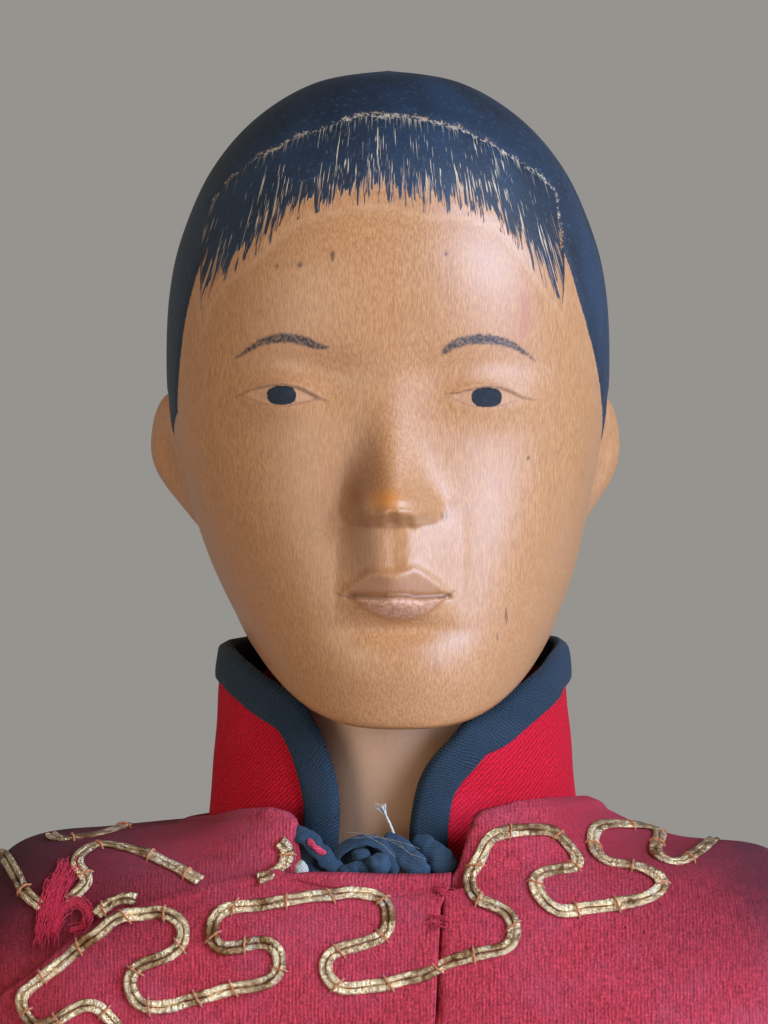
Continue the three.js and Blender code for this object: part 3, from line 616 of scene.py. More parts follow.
# Edges of the painted hair as the picture shows them, in mm from the face's middle line and above the chin
fringeTop = [(-13.3, 39.3), (-11.9, 41.0), (-10.1, 42.5), (-8.5, 43.4), (-6.9, 44.3), (-4.8, 44.9),
             (-3.4, 45.5), (-1.9, 45.8), (0.9, 45.9), (2.2, 45.7), (3.6, 45.3), (5.1, 45.0), (6.4, 44.4),
             (7.7, 43.8), (8.9, 43.0), (10.2, 42.2), (11.3, 41.4), (12.2, 40.7), (12.6, 40.3)]
fringeSide = [(12.6, 40.3), (12.7, 39.4), (12.85, 38.2), (13.05, 37.0), (13.15, 36.1)]
fringeFoot = [(-13.95, 29.9), (-13.6, 31.6), (-12.5, 33.3), (-9.5, 35.8), (-6.7, 38.0), (-4.0, 38.8),
              (-0.4, 39.3), (2.9, 38.7), (5.6, 38.5), (8.3, 37.2), (10.3, 35.3), (11.9, 33.1), (13.15, 31.3)]
sideRight = [(13.25, 35.5), (14.4, 32.2), (15.2, 29.4), (15.75, 27.0), (16.05, 24.8), (16.1, 20.8)]
sideLeft = [(-16.2, 21.5), (-15.9, 23.5), (-15.75, 26.7), (-15.4, 30.0), (-15.05, 31.6), (-14.25, 34.6)]
# the hair's lower line behind the ears, degrees round and mm up
nape = [(84, 24.6), (96, 25.4), (104, 22), (112, 15), (128, 11), (150, 9.6), (180, 9)]
# painted strokes: places along each and its half widths
brows = [([(-11.57, 27.52), (-10.56, 28.16), (-9.64, 28.75), (-8.54, 29.08), (-7.63, 29.1), (-6.52, 28.9),
           (-5.61, 28.58), (-4.6, 28.32)], [0.02, 0.12, 0.2, 0.27, 0.32, 0.33, 0.27, 0.1]),
         ([(4.25, 28.05), (5.03, 28.6), (6.13, 28.95), (7.42, 29.0), (8.52, 28.84), (9.44, 28.53),
           (10.35, 27.98), (11.09, 27.34)], [0.18, 0.3, 0.32, 0.33, 0.3, 0.23, 0.12, 0.02])]
lashes = [([(-11.6, 24.6), (-10.74, 24.99), (-9.83, 25.28), (-9.09, 25.43), (-7.99, 25.54), (-6.89, 25.36),
            (-6.16, 25.04), (-5.24, 24.53), (-4.5, 24.27)],
           [0.02, 0.05, 0.06, 0.07, 0.08, 0.1, 0.13, 0.14, 0.03]),
          ([(-4.05, 9.85), (-3.5, 9.6), (-2.9, 9.42)], [0.02, 0.08, 0.03]),
          ([(3.7, 9.36), (4.5, 9.55), (5.1, 9.95)], [0.03, 0.09, 0.02]),
          ([(4.05, 15.95), (4.12, 15.6), (4.1, 15.25)], [0.03, 0.1, 0.03]),
          ([(4.42, 15.85), (4.48, 15.55), (4.42, 15.3)], [0.02, 0.07, 0.02]),
          ([(4.1, 24.8), (5.22, 24.92), (6.32, 25.19), (7.42, 25.37), (8.52, 25.32), (9.44, 24.95),
            (10.17, 24.55), (11.4, 24.35)], [0.02, 0.06, 0.07, 0.07, 0.09, 0.11, 0.09, 0.02])]
lowerLids = [([(-11.2, 24.75), (-10.5, 24.5), (-9.83, 24.2), (-8.73, 23.93), (-7.63, 23.93), (-6.34, 24.2),
               (-5.24, 24.47)], [0.02, 0.04, 0.05, 0.06, 0.06, 0.06, 0.03]),
             ([(4.67, 24.62), (5.58, 24.22), (6.5, 23.91), (7.6, 23.8), (8.7, 24.0), (9.8, 24.4)],
              [0.03, 0.05, 0.07, 0.07, 0.06, 0.04])]
noseFoot = [(-3.2, 15.5), (-2.9, 15.0), (-1.5, 14.85), (0.45, 14.72), (2.4, 14.85), (3.5, 15.1)]
# irises and small marks: place and the two half sizes
irises = [(-8.05, 24.73, 1.1, 0.72), (7.47, 24.58, 1.15, 0.74)]
marks = [(-8.4, 34.4, 0.17, 0.15), (-6.66, 34.7, 0.2, 0.18), (-4.2, 35.3, 0.14, 0.32),
         (4.4, 35.5, 0.12, 0.12), (8.95, 8.0, 0.07, 0.5), (8.25, 6.5, 0.06, 0.25), (10.6, 20.0, 0.1, 0.14)]


def strokes(x, z, table):
    # distance to the nearest painted stroke, less its half width there
    best = np.full(x.shape, 9.0)
    for line, widths in table:
        d, where = lineDistance(x, z, line)
        best = np.minimum(best, d - np.interp(where, np.linspace(0, 1, len(widths)), widths))
    return best


def headPart():
    # the carved head with a float value per point for each painted thing: signed distances in mm for edges
    # and strokes, shares from 0 to 1 for tones
    points, angle = headSurface()
    x, z = seen(points)
    z = z - head["chin"]
    front = points[..., 1] < -2
    relief = np.where(front, faceRelief(x, z) * smoothStep(-2, -7, points[..., 1]), 0)
    points[..., 1] -= relief
    around = angle * head["unroll"]    # the head unrolled, mm
    up = points[..., 2] - head["chin"]
    facing = (np.abs(angle) < 1.5).ravel()
    flatX, flatZ, flatU, flatUp = [v.ravel()[facing] for v in (x, z, around, up)]

    def unroll(line):
        # the head's own place under each point of a line in the picture
        found = [np.argmin((flatX - px) ** 2 + (flatZ - pz) ** 2) for px, pz in line]
        return [(flatU[i], flatUp[i]) for i in found]

    # outline of all bare skin: the face, then below the hair and round under the head
    behind = [(np.radians(a) * head["unroll"], h) for a, h in nape]
    skin = (unroll(sideLeft) + unroll(fringeFoot) + unroll(sideRight) + behind
            + [(52, 9), (52, -30), (-52, -30), (-52, 9)])
    skin += [(-u, h) for u, h in behind[::-1]]
    edge, _ = lineDistance(around, up, skin, closed=True)
    hair = np.where(insideOf(around, up, skin), -edge, edge)
    foot, _ = lineDistance(around, up, unroll(fringeFoot))
    fringeRing = unroll(fringeTop) + unroll(fringeSide) + unroll(fringeFoot)[::-1]
    inFringe = insideOf(around, up, fringeRing)
    ringEdge, _ = lineDistance(around, up, fringeRing, closed=True)
    fringe = np.where(inFringe, ringEdge, -ringEdge)
    topRun = smoothRows(fringeTop, np.linspace(0, len(fringeTop) - 1, 70)).tolist()
    topLine, _ = lineDistance(around, up, unroll(topRun + fringeSide[1:]))
    strand = head["fan"] * x / (head["fanTop"] - z)      # strands fan out from a point above the crown
    brow, lash, lowLid = [strokes(x, z, table) for table in (brows, lashes, lowerLids)]
    iris = np.full(x.shape, 9.0)
    for atX, atZ, rx, rz in irises:
        d = ((np.abs(x - atX) / rx) ** 2.5 + (np.abs(z - atZ) / rz) ** 2.5) ** 0.4
        iris = np.minimum(iris, (d - 1) * 0.8)
    lid = np.maximum(almond(x, z, face["leftEye"]), almond(x, z, face["rightEye"]))
    mark = np.zeros(x.shape)
    for atX, atZ, rx, rz in marks:
        mark = np.maximum(mark, bell(x, z, atX, atZ, rx, rz))
    meet, top, bottom, inside = lipLines(x)
    upperLip = smoothStep(0, 0.3, np.minimum(top - z, z - meet)) * inside ** 0.2
    lowerLip = smoothStep(0, 0.3, np.minimum(meet - z, z - bottom)) * inside ** 0.2
    # painted shade: dark along the lips' meeting line and in the crease under the nose
    hollow = np.exp(-((z - meet) / 0.13) ** 2) * smoothStep(0.0, 0.3, inside)
    underNose, _ = lineDistance(x, z, noseFoot)
    hollow = np.maximum(hollow, 0.5 * np.exp(-(underNose / 0.11) ** 2))
    # none of this on the back of the head
    off = ~front
    for value, plain in ((brow, 9), (lash, 9), (lowLid, 9), (iris, 9), (lid, -9), (mark, 0), (upperLip, 0),
                         (lowerLip, 0), (hollow, 0)):
        value[off] = plain
    # orange spot on the nose, red smear by the brow, painted light on the shelf under the nose, painted shade
    # on the left of the nose and of the block under it, and dull places
    tipSpot = bell(x, z, -0.15, 16.85, 0.75, 0.5) * front
    smear = (bell(x, z, 10.4, 31.2, 0.28, 1.2) + 0.5 * bell(x, z, 9.9, 29.6, 0.5, 0.8)) * front
    # painted light: the shelf under the nose is laid paler, as if lit
    shelf = between(14.95, 15.1, 15.5, 15.75, z) * (1 - smoothStep(2.9, 3.5, x)) * front
    shelf = shelf * (0.3 * smoothStep(-2.4, -1.6, x) + 0.7 * smoothStep(0.9, 1.4, x))
    # painted shade beside the nose and on the left of the block under it
    dusk = (np.clip(bell(x, z, -1.9, 12.7, 1.0, 1.9) + 0.8 * bell(x, z, -2.3, 17.4, 0.9, 1.9)
                    + 0.5 * bell(x, z, -1.6, 20.5, 0.8, 2.0), 0, 1) * front)
    dull = (np.clip(np.maximum(upperLip, lowerLip) + 0.8 * dusk + 0.9 * bell(x, z, 2.0, 22.5, 1.5, 4.0)
                    + 0.4 * bell(x, z, 7.4, 26.8, 3.0, 1.2), 0, 1) * front)
    rim = np.exp(-((hair + 0.32) / 0.16) ** 2) * smoothStep(2.5, 1.0, foot) * front
    # incised lines and the fringe's slight step
    n = normalsOf(points, True)
    carve = -0.1 * np.exp(-(topLine / 0.2) ** 2) + 0.12 * smoothStep(-0.1, 0.5, hair)
    points = points + n * carve[..., None]
    points[0] = points[0].mean(0)      # closed under the jaw, inside the neck
    foot = np.where(inFringe | (foot > 0.6), foot, -foot)
    return surface(points, False, True, np.stack([around, up], -1), hair=hair, fringe=fringe, foot=foot,
                   topLine=topLine, strand=strand, brow=brow, lash=lash, lowLid=lowLid, iris=iris, lid=lid,
                   mark=mark, upperLip=upperLip, lowerLip=lowerLip, hollow=hollow, tipSpot=tipSpot,
                   smear=smear, rim=rim, shelf=shelf, dusk=dusk, dull=dull, neck=0 * x)


def bareWood(points):
    # the head's painted values where no paint is near
    away = {"hair": -9, "fringe": -9, "foot": -9, "topLine": 9, "strand": 0, "brow": 9, "lash": 9,
            "lowLid": 9, "iris": 9, "lid": -9, "mark": 0, "upperLip": 0, "lowerLip": 0, "hollow": 0,
            "tipSpot": 0, "smear": 0, "rim": 0, "shelf": 0, "dusk": 0, "dull": 0, "neck": 0}
    return {key: np.full(points.shape[:2], float(value)) for key, value in away.items()}


# Ear: half sizes, how far its middle stands out, back and up, its turn and its taper into the jaw
ear = {"thick": 1.15, "deep": 3.4, "tall": 5.3, "out": 16.0, "back": 1.6, "up": 19.7, "turn": 0.5,
       "bowl": 0.75, "fold": 0.25, "taper": 2.2, "uneven": 0.2}


def earPart(side):
    # a flat shell set on the side of the head: an ellipsoid with its bowl
    # pressed in and a thick rim, running into the jaw below
    u = np.linspace(0, np.pi, 30)[:, None]
    v = fullTurn(44)[None]
    lobe = 1 + 0.16 * np.cos(u) * (np.cos(u) > 0)
    px = ear["thick"] * np.sin(u) * np.cos(v)
    py = ear["deep"] * np.sin(u) * np.sin(v) * lobe
    pz = ear["tall"] * np.cos(u) * np.ones_like(v)
    rim = np.hypot(py / ear["deep"], pz / ear["tall"])
    outside = np.where(px > 0, 1, 0)
    px = (px - ear["bowl"] * outside * np.exp(-(rim / 0.62) ** 4)
          + ear["fold"] * outside * np.exp(-((rim - 0.45) / 0.16) ** 2))
    x = px * np.cos(ear["turn"]) + py * np.sin(ear["turn"])
    y = -px * np.sin(ear["turn"]) + py * np.cos(ear["turn"])
    x = x - (ear["taper"] - 0.3 * side) * smoothStep(1.5, -ear["tall"], pz) ** 1.4
    points = np.stack([side * (ear["out"] - ear["uneven"] * side + x), ear["back"] + y,
                       head["chin"] + ear["up"] + pz + 0.1 * y], -1)
    return surface(points, False, True, np.stack([points[..., 1], points[..., 2]], -1), flip=side > 0,
                   **bareWood(points))


# Neck and peg: radius and height
neckProfile = np.array([[0, 226.3], [7.4, 226.3], [7.4, 231.5], [7.45, 237], [7.7, 242], [8.2, 247],
                        [7.0, 252], [0, 253]])


def neckPart():
    # a turned neck that widens into the jaw and the shoulder of the peg
    fine = np.linspace(0, len(neckProfile) - 1, 60)
    rows = np.stack([np.interp(fine, np.arange(len(neckProfile)), neckProfile[:, k]) for k in (0, 1)], 1)
    v = fullTurn(72)
    points = spread(rows[:, :1] * np.sin(v), -rows[:, :1] * np.cos(v), rows[:, 1:])
    # the neck value marks it for painted light, lifting its tone out of the chin's shade
    return surface(points, False, True, aroundUv(v, 8, rows[:, 1:]),
                   **{**bareWood(points), "neck": np.ones(points.shape[:2])})


woodTones = {"pale": colour(207, 152, 101), "main": colour(184, 125, 76), "deep": colour(153, 98, 56),
             "flush": colour(186, 132, 96), "crease": colour(84, 46, 26), "hair": colour(28, 48, 68),
             "hairDeep": colour(13, 24, 35), "iris": colour(13, 19, 26)}
# tones laid over the wood in turn: the value that marks the place, its strength and its colour
# among these, the neck's and the shelf's tones are painted light and the tone beside the nose is painted
# shade
stainsAndPaintedLight = [("tipSpot", 0.75, (224, 134, 52)), ("neck", 0.7, (208, 162, 128)),
              ("shelf", 0.45, (206, 160, 120)), ("dusk", 0.55, (108, 64, 36)),
              ("smear", 0.45, (168, 84, 72)), ("rim", 0.2, (226, 184, 142)),
              ("upperLip", 0.5, (146, 94, 66))]


def woodBase(f):
    # fine short flecks along the grain over slow patches of paler and deeper wood
    sway = f.noise(f.place((160, 160, 160)), detail=1)
    aside = f.put("CombineXYZ", {0: sway * 9.0, 2: sway * 6.0}).outputs[0]
    swayed = f.put("VectorMath", {0: f.place((8200, 8200, 1500)), 1: aside}, operation="ADD").outputs[0]
    fleck = f.noise(swayed, detail=3, rough=0.65)
    grain = f.noise(f.place((1100, 1100, 70)), detail=3, rough=0.6)
    patch = f.noise(f.place((95, 95, 60)), detail=2)
    tone = f.mix(f.step(fleck, 0.32, 0.7), woodTones["deep"], woodTones["pale"])
    base = f.mix(0.5, woodTones["main"], tone)
    base = f.mix(f.step(grain, 0.5, 0.75) * 0.16, base, woodTones["deep"])
    base = f.mix(f.step(patch, 0.42, 0.7) * 0.3, base, woodTones["flush"])
    return base, fleck


def headFinish():
    # waxed wood with painted hair, brows and eyes
    f = Finish("carved_head", 0.4, Specular_IOR_Level=0.6)
    base, fleck = woodBase(f)
    fine = f.noise(f.place((4200, 4200, 4200)), detail=3, rough=0.7)
    speck = f.noise(f.place((2600, 2600, 2600)), detail=4, rough=0.75)
    around = fine - 0.5
    for key, share, tone in stainsAndPaintedLight:
        base = f.mix(f.value(key) * share, base, colour(*tone))
    stipple = f.mix(f.step(fine, 0.4, 0.62), colour(182, 122, 94), colour(228, 180, 152))
    base = f.mix(f.value("lowerLip") * 0.62, base, stipple)
    # painted shade along the mouth's line and under the nose
    base = f.mix(f.value("hollow") * 0.6, base, woodTones["crease"])
    # eyes: a slightly paler opening, a brown upper lid line and a faint lower one
    lid = f.value("lid")
    base = f.mix(f.step(lid, 0.0, 0.2) * 0.18, base, colour(204, 160, 130))
    lash = f.value("lash") + around * 0.16
    base = f.mix((1 - f.step(lash, -0.05, 0.09)) * 0.6, base, woodTones["crease"])
    lowLid = f.value("lowLid") + around * 0.2
    base = f.mix((1 - f.step(lowLid, -0.05, 0.1)) * 0.42, base, colour(122, 74, 46))
    base = f.mix(f.step(f.value("mark"), 0.2, 0.7) * 0.72, base, colour(70, 36, 20))
    # painted brows and irises with a rough brush edge and thin places
    brow = f.value("brow") + (speck - 0.5) * 0.55
    browPaint = (1 - f.step(brow, -0.1, 0.17)) * (f.step(fine, 0.36, 0.58) * 0.42 + 0.54)
    base = f.mix(browPaint, base, f.mix(f.step(speck, 0.4, 0.62), colour(16, 20, 24), colour(40, 50, 60)))
    iris = f.value("iris") + around * 0.22
    irisPaint = (1 - f.step(iris, -0.03, 0.04)) * f.step(lid, -0.1, 0.02)
    base = f.mix(irisPaint, base, f.mix(f.step(speck, 0.4, 0.65), woodTones["iris"], colour(24, 33, 42)))
    # hair paint: solid on top and sides, scratched into strands on the fringe
    strand, foot, fringe = f.value("strand"), f.value("foot"), f.value("fringe")

    def comb(across, down, layer):
        # noise drawn out along the strands
        where = f.put("CombineXYZ", {0: strand * across, 1: foot * down, 2: layer}).outputs[0]
        return f.noise(where, detail=2, rough=0.6)

    # near the foot the strands part into points, and further up thin scratches stay in clumps
    reach = 1 - f.step(foot, -0.1, 3.1)
    scratch = f.step(comb(2.3, 0.3, 0.0) - (0.82 - reach * 0.39), -0.012, 0.02)
    scratch = f.calc("MAXIMUM", scratch, f.step(comb(5.0, 0.4, 5.0) - (0.8 - reach * 0.28), -0.012, 0.02))
    higher = (1 - f.step(foot, 0.3, 7.5)) * 0.12 + (comb(0.5, 0.25, 31.0) - 0.5) * 0.22
    for across, down, layer, gate in ((5.5, 0.32, 3.7, 0.72), (8.5, 0.5, 8.1, 0.715),
                                      (6.5, 0.24, 12.3, 0.73)):
        level = gate - higher
        scratch = f.calc("MAXIMUM", scratch, f.step(comb(across, down, layer) - level, -0.01, 0.03) * 0.9)
    scratch = (scratch * f.calc("MAXIMUM", f.step(fringe, 0.0, 0.12),
                                f.step(fringe, -0.3, -0.1) * (1 - f.step(foot, 0.2, 0.5))))
    topLine = f.value("topLine")
    wide = f.step(f.noise(f.place((330, 330, 330)), detail=2), 0.38, 0.66) * 0.24
    ragged = topLine + around * 1.3 - wide
    ridge = (1 - f.step(ragged, -0.12, 0.06)) * f.step(speck, 0.4, 0.56)
    hatch = ((1 - f.step(topLine, 0.1, 1.5)) * f.step(fringe, 0.0, 0.15)
             * f.step(comb(6.5, 0.35, 20.0), 0.55, 0.62))
    bare = f.calc("MAXIMUM", scratch, f.calc("MAXIMUM", ridge * 0.85, hatch * 0.6))
    paint = f.step(f.value("hair") + around * 0.3, -0.05, 0.06) * (1 - bare)
    rubbed = f.noise(f.place((140, 140, 90)), detail=4, rough=0.6)
    hairTone = f.mix(f.step(rubbed, 0.3, 0.75), woodTones["hairDeep"], woodTones["hair"])
    hairTone = f.mix(f.step(speck, 0.55, 0.72) * 0.5, hairTone, colour(74, 94, 116))
    # bared wood is dusty pale away from the forehead's edge
    dusty = f.step(fringe, -0.4, 0.0) * f.step(f.value("hair"), 0.6, 3.6) * 0.75
    base = f.mix(dusty, base, colour(212, 198, 168))
    base = f.mix(paint, base, hairTone)
    covered = f.calc("MAXIMUM", paint, f.calc("MAXIMUM", irisPaint, browPaint))
    rough = covered * 0.2 + 0.34 + (f.step(lid, -0.5, -0.1) * 0.25 + fleck * 0.14)
    rough = f.value("dull") * 0.2 + rough
    lift = fleck * 0.35 + (paint * 0.8 + speck * paint * 0.7)
    return f.link(Base_Color=base, Roughness=rough, Normal=f.bump(lift, 0.34, 0.00014))


headMaterial = headFinish()
addPiece("carved_head", [headPart(), earPart(1), earPart(-1), neckPart()], headMaterial, "head",
         ["head"])
print("head carved and painted")

# Stand collar: an oval wall with a free edge, in degrees from the front and shares of the height
collar = {"base": 229.3, "height": 22.0, "half": 14.6, "front": 11.8, "top": 12.6, "aside": 0.4, "cloth": 0.7,
          "binding": 2.6, "proud": 0.28, "eased": 0.32}
collarEdge = np.array([[-18.4, -0.08], [-18.3, 0.23], [-18.2, 0.36], [-20.3, 0.47], [-24.8, 0.585],
                       [-29.8, 0.665], [-35.5, 0.72], [-46, 0.765], [-60, 0.825], [-80, 0.88], [-120, 0.9],
                       [-150, 0.96], [-180, 1], [-210, 0.97], [-240, 0.91], [-270, 0.895], [-290, 0.86],
                       [-301, 0.81], [-315, 0.738], [-326, 0.67], [-335, 0.63], [-340.4, 0.575],
                       [-347, 0.505], [-351, 0.43], [-353.2, 0.325], [-353.9, 0.235], [-354, -0.08]])


def onCollar(run, up, proud):
    # unrolled place to the oval wall, which leans in towards its top and gives way a little beside the jaw
    lean = 1 + (collar["top"] / collar["half"] - 1) * up / collar["height"]
    angle = run / collar["half"]
    proud = (proud + collar["eased"] * np.exp(-((np.degrees(angle) + 300) / 20) ** 2)
             * smoothStep(0.45, 0.75, up / collar["height"]))
    depth = np.where(np.cos(angle) > 0, collar["front"], collar["half"])
    return np.stack([collar["aside"] + (collar["half"] * lean + proud) * np.sin(angle),
                     -(depth * lean + proud) * np.cos(angle), collar["base"] + up], -1)


def collarParts():
    # the binding and the band, made on the unrolled wall
    edge = np.stack([np.radians(collarEdge[:, 0]) * collar["half"], collarEdge[:, 1] * collar["height"]], 1)
    steps = 360
    path, length = smoothPath(edge, steps)
    run = unit(np.gradient(path, axis=0))
    inward = np.stack([-run[:, 1], run[:, 0]], 1)
    if inward[len(path) // 2, 1] > 0:
        inward = -inward
    # binding: a soft strip folded over the edge, a flattened tube whose section is a rounded bar
    share = np.linspace(0, 1, 15)
    puff = 0.22 * np.sin(np.pi * share) ** 0.5
    outer = path[:, None] + inward[:, None] * (share * collar["binding"])[None, :, None]
    wave = 0.05 * softNoise(np.arange(steps)[:, None] * length / steps, share * 3, 4, 5)
    face1 = onCollar(outer[..., 0], outer[..., 1], collar["proud"] + puff + wave - 0.1 * (share > 0.97))
    face2 = onCollar(outer[..., 0], outer[..., 1], -collar["cloth"] - puff * 0.2)
    lip = onCollar(path[:, 0] - inward[:, 0] * 0.35, path[:, 1] - inward[:, 1] * 0.35,
                   -collar["cloth"] / 2 + 0.1)[:, None]
    ring = np.concatenate([face1, face2[:, ::-1], lip], 1)
    ends = [np.repeat(ring[k:k + 1].mean(1, keepdims=True), ring.shape[1], 1) for k in (0, steps - 1)]
    ring = np.concatenate([ends[0], ring, ends[1]])
    along = np.linspace(0, length, len(ring))[:, None]
    around = np.concatenate([share * 3, 3 + (1 - share) * -3, [-0.4]])[None]
    bindingPart = surface(ring, False, True, spread(along, around), flip=True)
    # band: upright columns from the base to under the binding, as high as
    # the binding's inner line is over each place
    top = path + inward * (collar["binding"] - 0.7)
    runs = np.linspace(top[:, 0].min() + 0.05, top[:, 0].max() - 0.05, 300)
    nearest = np.abs(top[:, 0] - runs[:, None]) < 0.35
    low = -2.0
    high = np.where(nearest, top[:, 1], low).max(1)
    height = low + (high - low) * np.linspace(0, 1, 40)[:, None]
    runs = np.broadcast_to(runs, height.shape)
    wall = onCollar(runs, height, 0.12 * softNoise(runs, height, 9, 3))
    return bindingPart, clothShell(wall, collar["cloth"], False, np.stack([runs, height], -1))


scarletTwill = twill("collar_twill", colour(242, 16, 48), colour(108, 0, 10), colour(236, 44, 76), 0.3,
                     np.radians(-52), depth=0.55, sheen=0.0)
navyTwill = twill("navy_binding", colour(46, 65, 80), colour(8, 13, 19), colour(56, 77, 92), 0.24,
                  np.radians(28), depth=0.45)
bindingPart, bandPart = collarParts()
addPiece("collar_band_cloth", bandPart, scarletTwill, "torso", ["collar_band"])
addPiece("collar_edge_binding", bindingPart, navyTwill, "torso", ["collar_binding"])
print("collar sewn")


def pictured(points, depth):
    # places at a given depth that appear at these points of the picture, mm
    # from the face's middle line and above the chin
    points = np.asarray(points, float)
    depth = np.broadcast_to(np.asarray(depth, float), len(points))
    share = (view["distance"] + depth) / view["distance"]
    x = view["middleX"] + (points[:, 0] - view["middleX"]) * share
    z = view["middleZ"] + (points[:, 1] + head["chin"] - view["middleZ"]) * share
    return np.stack([x, depth, z], 1)


def lump(place, sizes, seedNumber):
    # a rounded fold of cloth: a sphere pressed to three sizes and dented by slow waves
    u = np.linspace(np.pi, 0, 20)[:, None]
    v = fullTurn(32)[None]
    ball = spread(np.sin(u) * np.cos(v), np.sin(u) * np.sin(v), np.cos(u))
    dent = 1 + 0.12 * softNoise(ball[..., 0] * 2 + ball[..., 1], ball[..., 2] * 2, 1.6, seedNumber)
    points = np.asarray(place) + ball * np.asarray(sizes) * dent[..., None]
    return surface(points, False, True, spread(v * sizes[0], -u * sizes[2]))


def strip(route, depth, width, flat, turn=0.0, count=48):
    # a folded strip of cloth along a route in the picture, its flat side
    # turned from the eye, its face crumpled by slow waves
    bent, _ = smoothPath(pictured(route, depth), count)
    share = np.linspace(0, 1, count)
    radius = width * (1 - 0.6 * np.abs(2 * share - 1) ** 8)
    toward = np.broadcast_to([0.0, -np.cos(turn), np.sin(turn)], bent.shape)
    part = tube(bent, radius, 20, flat, toward, 5 * width)
    x, y, z = part["points"].T
    waves = [softNoise(x + y, z, 0.9, 41), softNoise(x, z + y, 0.8, 42), softNoise(x - y, z, 0.9, 43)]
    part["points"] = part["points"] + knot["crumple"] * np.stack(waves, 1)
    return part


# Knot button of navy strips, its loop and tail, mm in the picture
knot = {"ballAt": (-0.73, -10.8), "depth": -14.5, "crumple": 0.09}
ballAt = pictured([knot["ballAt"]], knot["depth"])[0]
foldAt = pictured([(-2.03, -10.05), (-2.7, -11.2)], [-14.0, -14.3])
knotParts = [lump(ballAt, (0.95, 0.9, 0.92), 1), lump(foldAt[0], (0.7, 0.65, 0.62), 2),
             lump(foldAt[1], (0.8, 0.6, 0.5), 3),
             strip([(-7.3, -8.35), (-6.5, -8.55), (-5.6, -9.3), (-4.65, -10.35), (-3.6, -11.4)],
                   [-13.0, -13.5, -13.9, -14.2, -14.3], 0.72, 0.42, 0.5),
             strip([(-7.0, -9.1), (-6.5, -10.0), (-5.75, -11.0), (-5.0, -11.8)], [-12.8, -13.2, -13.7, -14.0],
                   0.5, 0.45),
             strip([(-3.9, -11.5), (-2.7, -11.05), (-1.5, -11.1), (-0.6, -11.6)], -14.5, 0.45, 0.7)]
loopParts = [strip([(-4.2, -11.3), (-4.1, -10.4), (-3.6, -9.75), (-2.7, -9.2), (-1.6, -8.95), (-0.7, -9.1),
                    (0.0, -9.6), (0.35, -10.5), (0.4, -11.6)],
                   [-13.4, -13.7, -13.9, -14.0, -14.1, -14.2, -14.3, -14.4, -14.4], 0.62, 0.4, 1.0),
             strip([(-0.4, -9.0), (0.6, -9.5), (1.4, -10.2), (2.1, -11.0), (2.5, -12.0)],
                   [-13.7, -14.1, -14.4, -14.6, -14.6], 0.95, 0.36),
             # this strip lies behind the loop and fills its opening with dark navy cloth, standing in for the
             # shade inside the loop
             strip([(-4.0, -10.9), (-2.6, -10.5), (-1.0, -10.4), (0.6, -10.8)], -12.9, 1.15, 0.4),
             strip([(1.9, -9.0), (2.9, -9.7), (3.9, -10.4), (4.7, -11.5)], [-12.8, -13.3, -13.7, -14.0], 1.0,
                   0.36)]
knotTwill = twill("knot_cloth", colour(58, 80, 100), colour(9, 15, 23), colour(84, 106, 126), 0.17,
                  np.radians(62), depth=0.2)
addPiece("collar_knot_button", knotParts, knotTwill, "torso", ["collar_knot"])
addPiece("collar_knot_loop", loopParts, knotTwill, "torso", ["collar_loop"])
liningSpot = strip([(-6.15, -8.95), (-5.5, -9.45), (-4.75, -10.0)], [-14.2, -14.4, -14.5], 0.26, 0.4)
liningTwill = twill("lining_cloth", colour(226, 78, 104), colour(140, 24, 44), colour(236, 130, 150), 0.2,
                    np.radians(62), depth=0.2)
addPiece("collar_knot_lining", [liningSpot], liningTwill, "torso")

# Outer jacket: half width, front, back, height at front, side and back, set back
jacket = {"cloth": 1.1, "overlapCloth": 1.0, "overlapLift": 1.15, "raised": 1.05, "under": 0.45, "hem": 0.28,
          "wrinkle": 0.26, "fold": 0.75}
jacketLevels = np.array([[33, 23, 23, 135, 135, 135, 0], [29.8, 21.3, 21.3, 152, 152, 152, 0],
                         [28.6, 20.5, 20.5, 170.3, 170.3, 170.3, 0], [29.4, 19.8, 19.8, 196, 196, 196, 0],
                         [31.6, 19.0, 19.0, 211, 211, 211, 0], [32.0, 18.4, 18.4, 219, 221, 219, 0],
                         [31.4, 17.8, 17.6, 224.6, 228.6, 225.5, 0],
                         [28.6, 17.2, 17.0, 228.0, 232.9, 230.0, 0],
                         [22.0, 16.5, 16.4, 230.0, 233.8, 233.6, 0],
                         [15.2, 15.5, 15.4, 231.4, 236.0, 237.0, 0]])
jacketSquare = np.array([2.4, 2.4, 2.5, 2.7, 3.1, 3.2, 3.1, 2.8, 2.4, 2.0])
# the neckline's edge, degrees round and mm up: it stands up against
# the collar and drops between the two fronts
neckEdge = np.array([[-180, 235.9], [-120, 235.5], [-90, 235.4], [-60, 236.0], [-48, 236.6], [-36, 236.9],
                     [-32, 236.8], [-29.6, 236.3], [-28.4, 235.4], [-27.2, 233.8], [-26.2, 232.2],
                     [-25.2, 230.6], [-20, 229.6], [13, 229.6], [14.4, 229.9], [15.2, 231.5], [17, 232.0],
                     [18.6, 233.1], [20.2, 234.5], [22.2, 235.7], [25, 236.2], [31, 236.5], [47, 236.6],
                     [66, 236.5], [74, 236.2], [90, 235.3], [120, 235.4], [180, 235.9]])


def seamX(z):
    # the right front's edge, nearly upright a little to the right of the middle
    return 4.05 - 0.055 * np.clip(232 - z, -2, 11) - 0.015 * np.clip(221 - z, 0, 90)


def jacketWrinkles(angle, z):
    # slow and quick dents all over, and upright folds that deepen towards the hem
    turn = np.sin(angle) * 19
    dents = jacket["wrinkle"] * softNoise(turn, z, 11, 21) + 0.12 * softNoise(turn, z, 4, 25)
    return dents + jacket["fold"] * softNoise(turn * 1.2, z * 0.3, 10, 22) * smoothStep(212, 150, z)


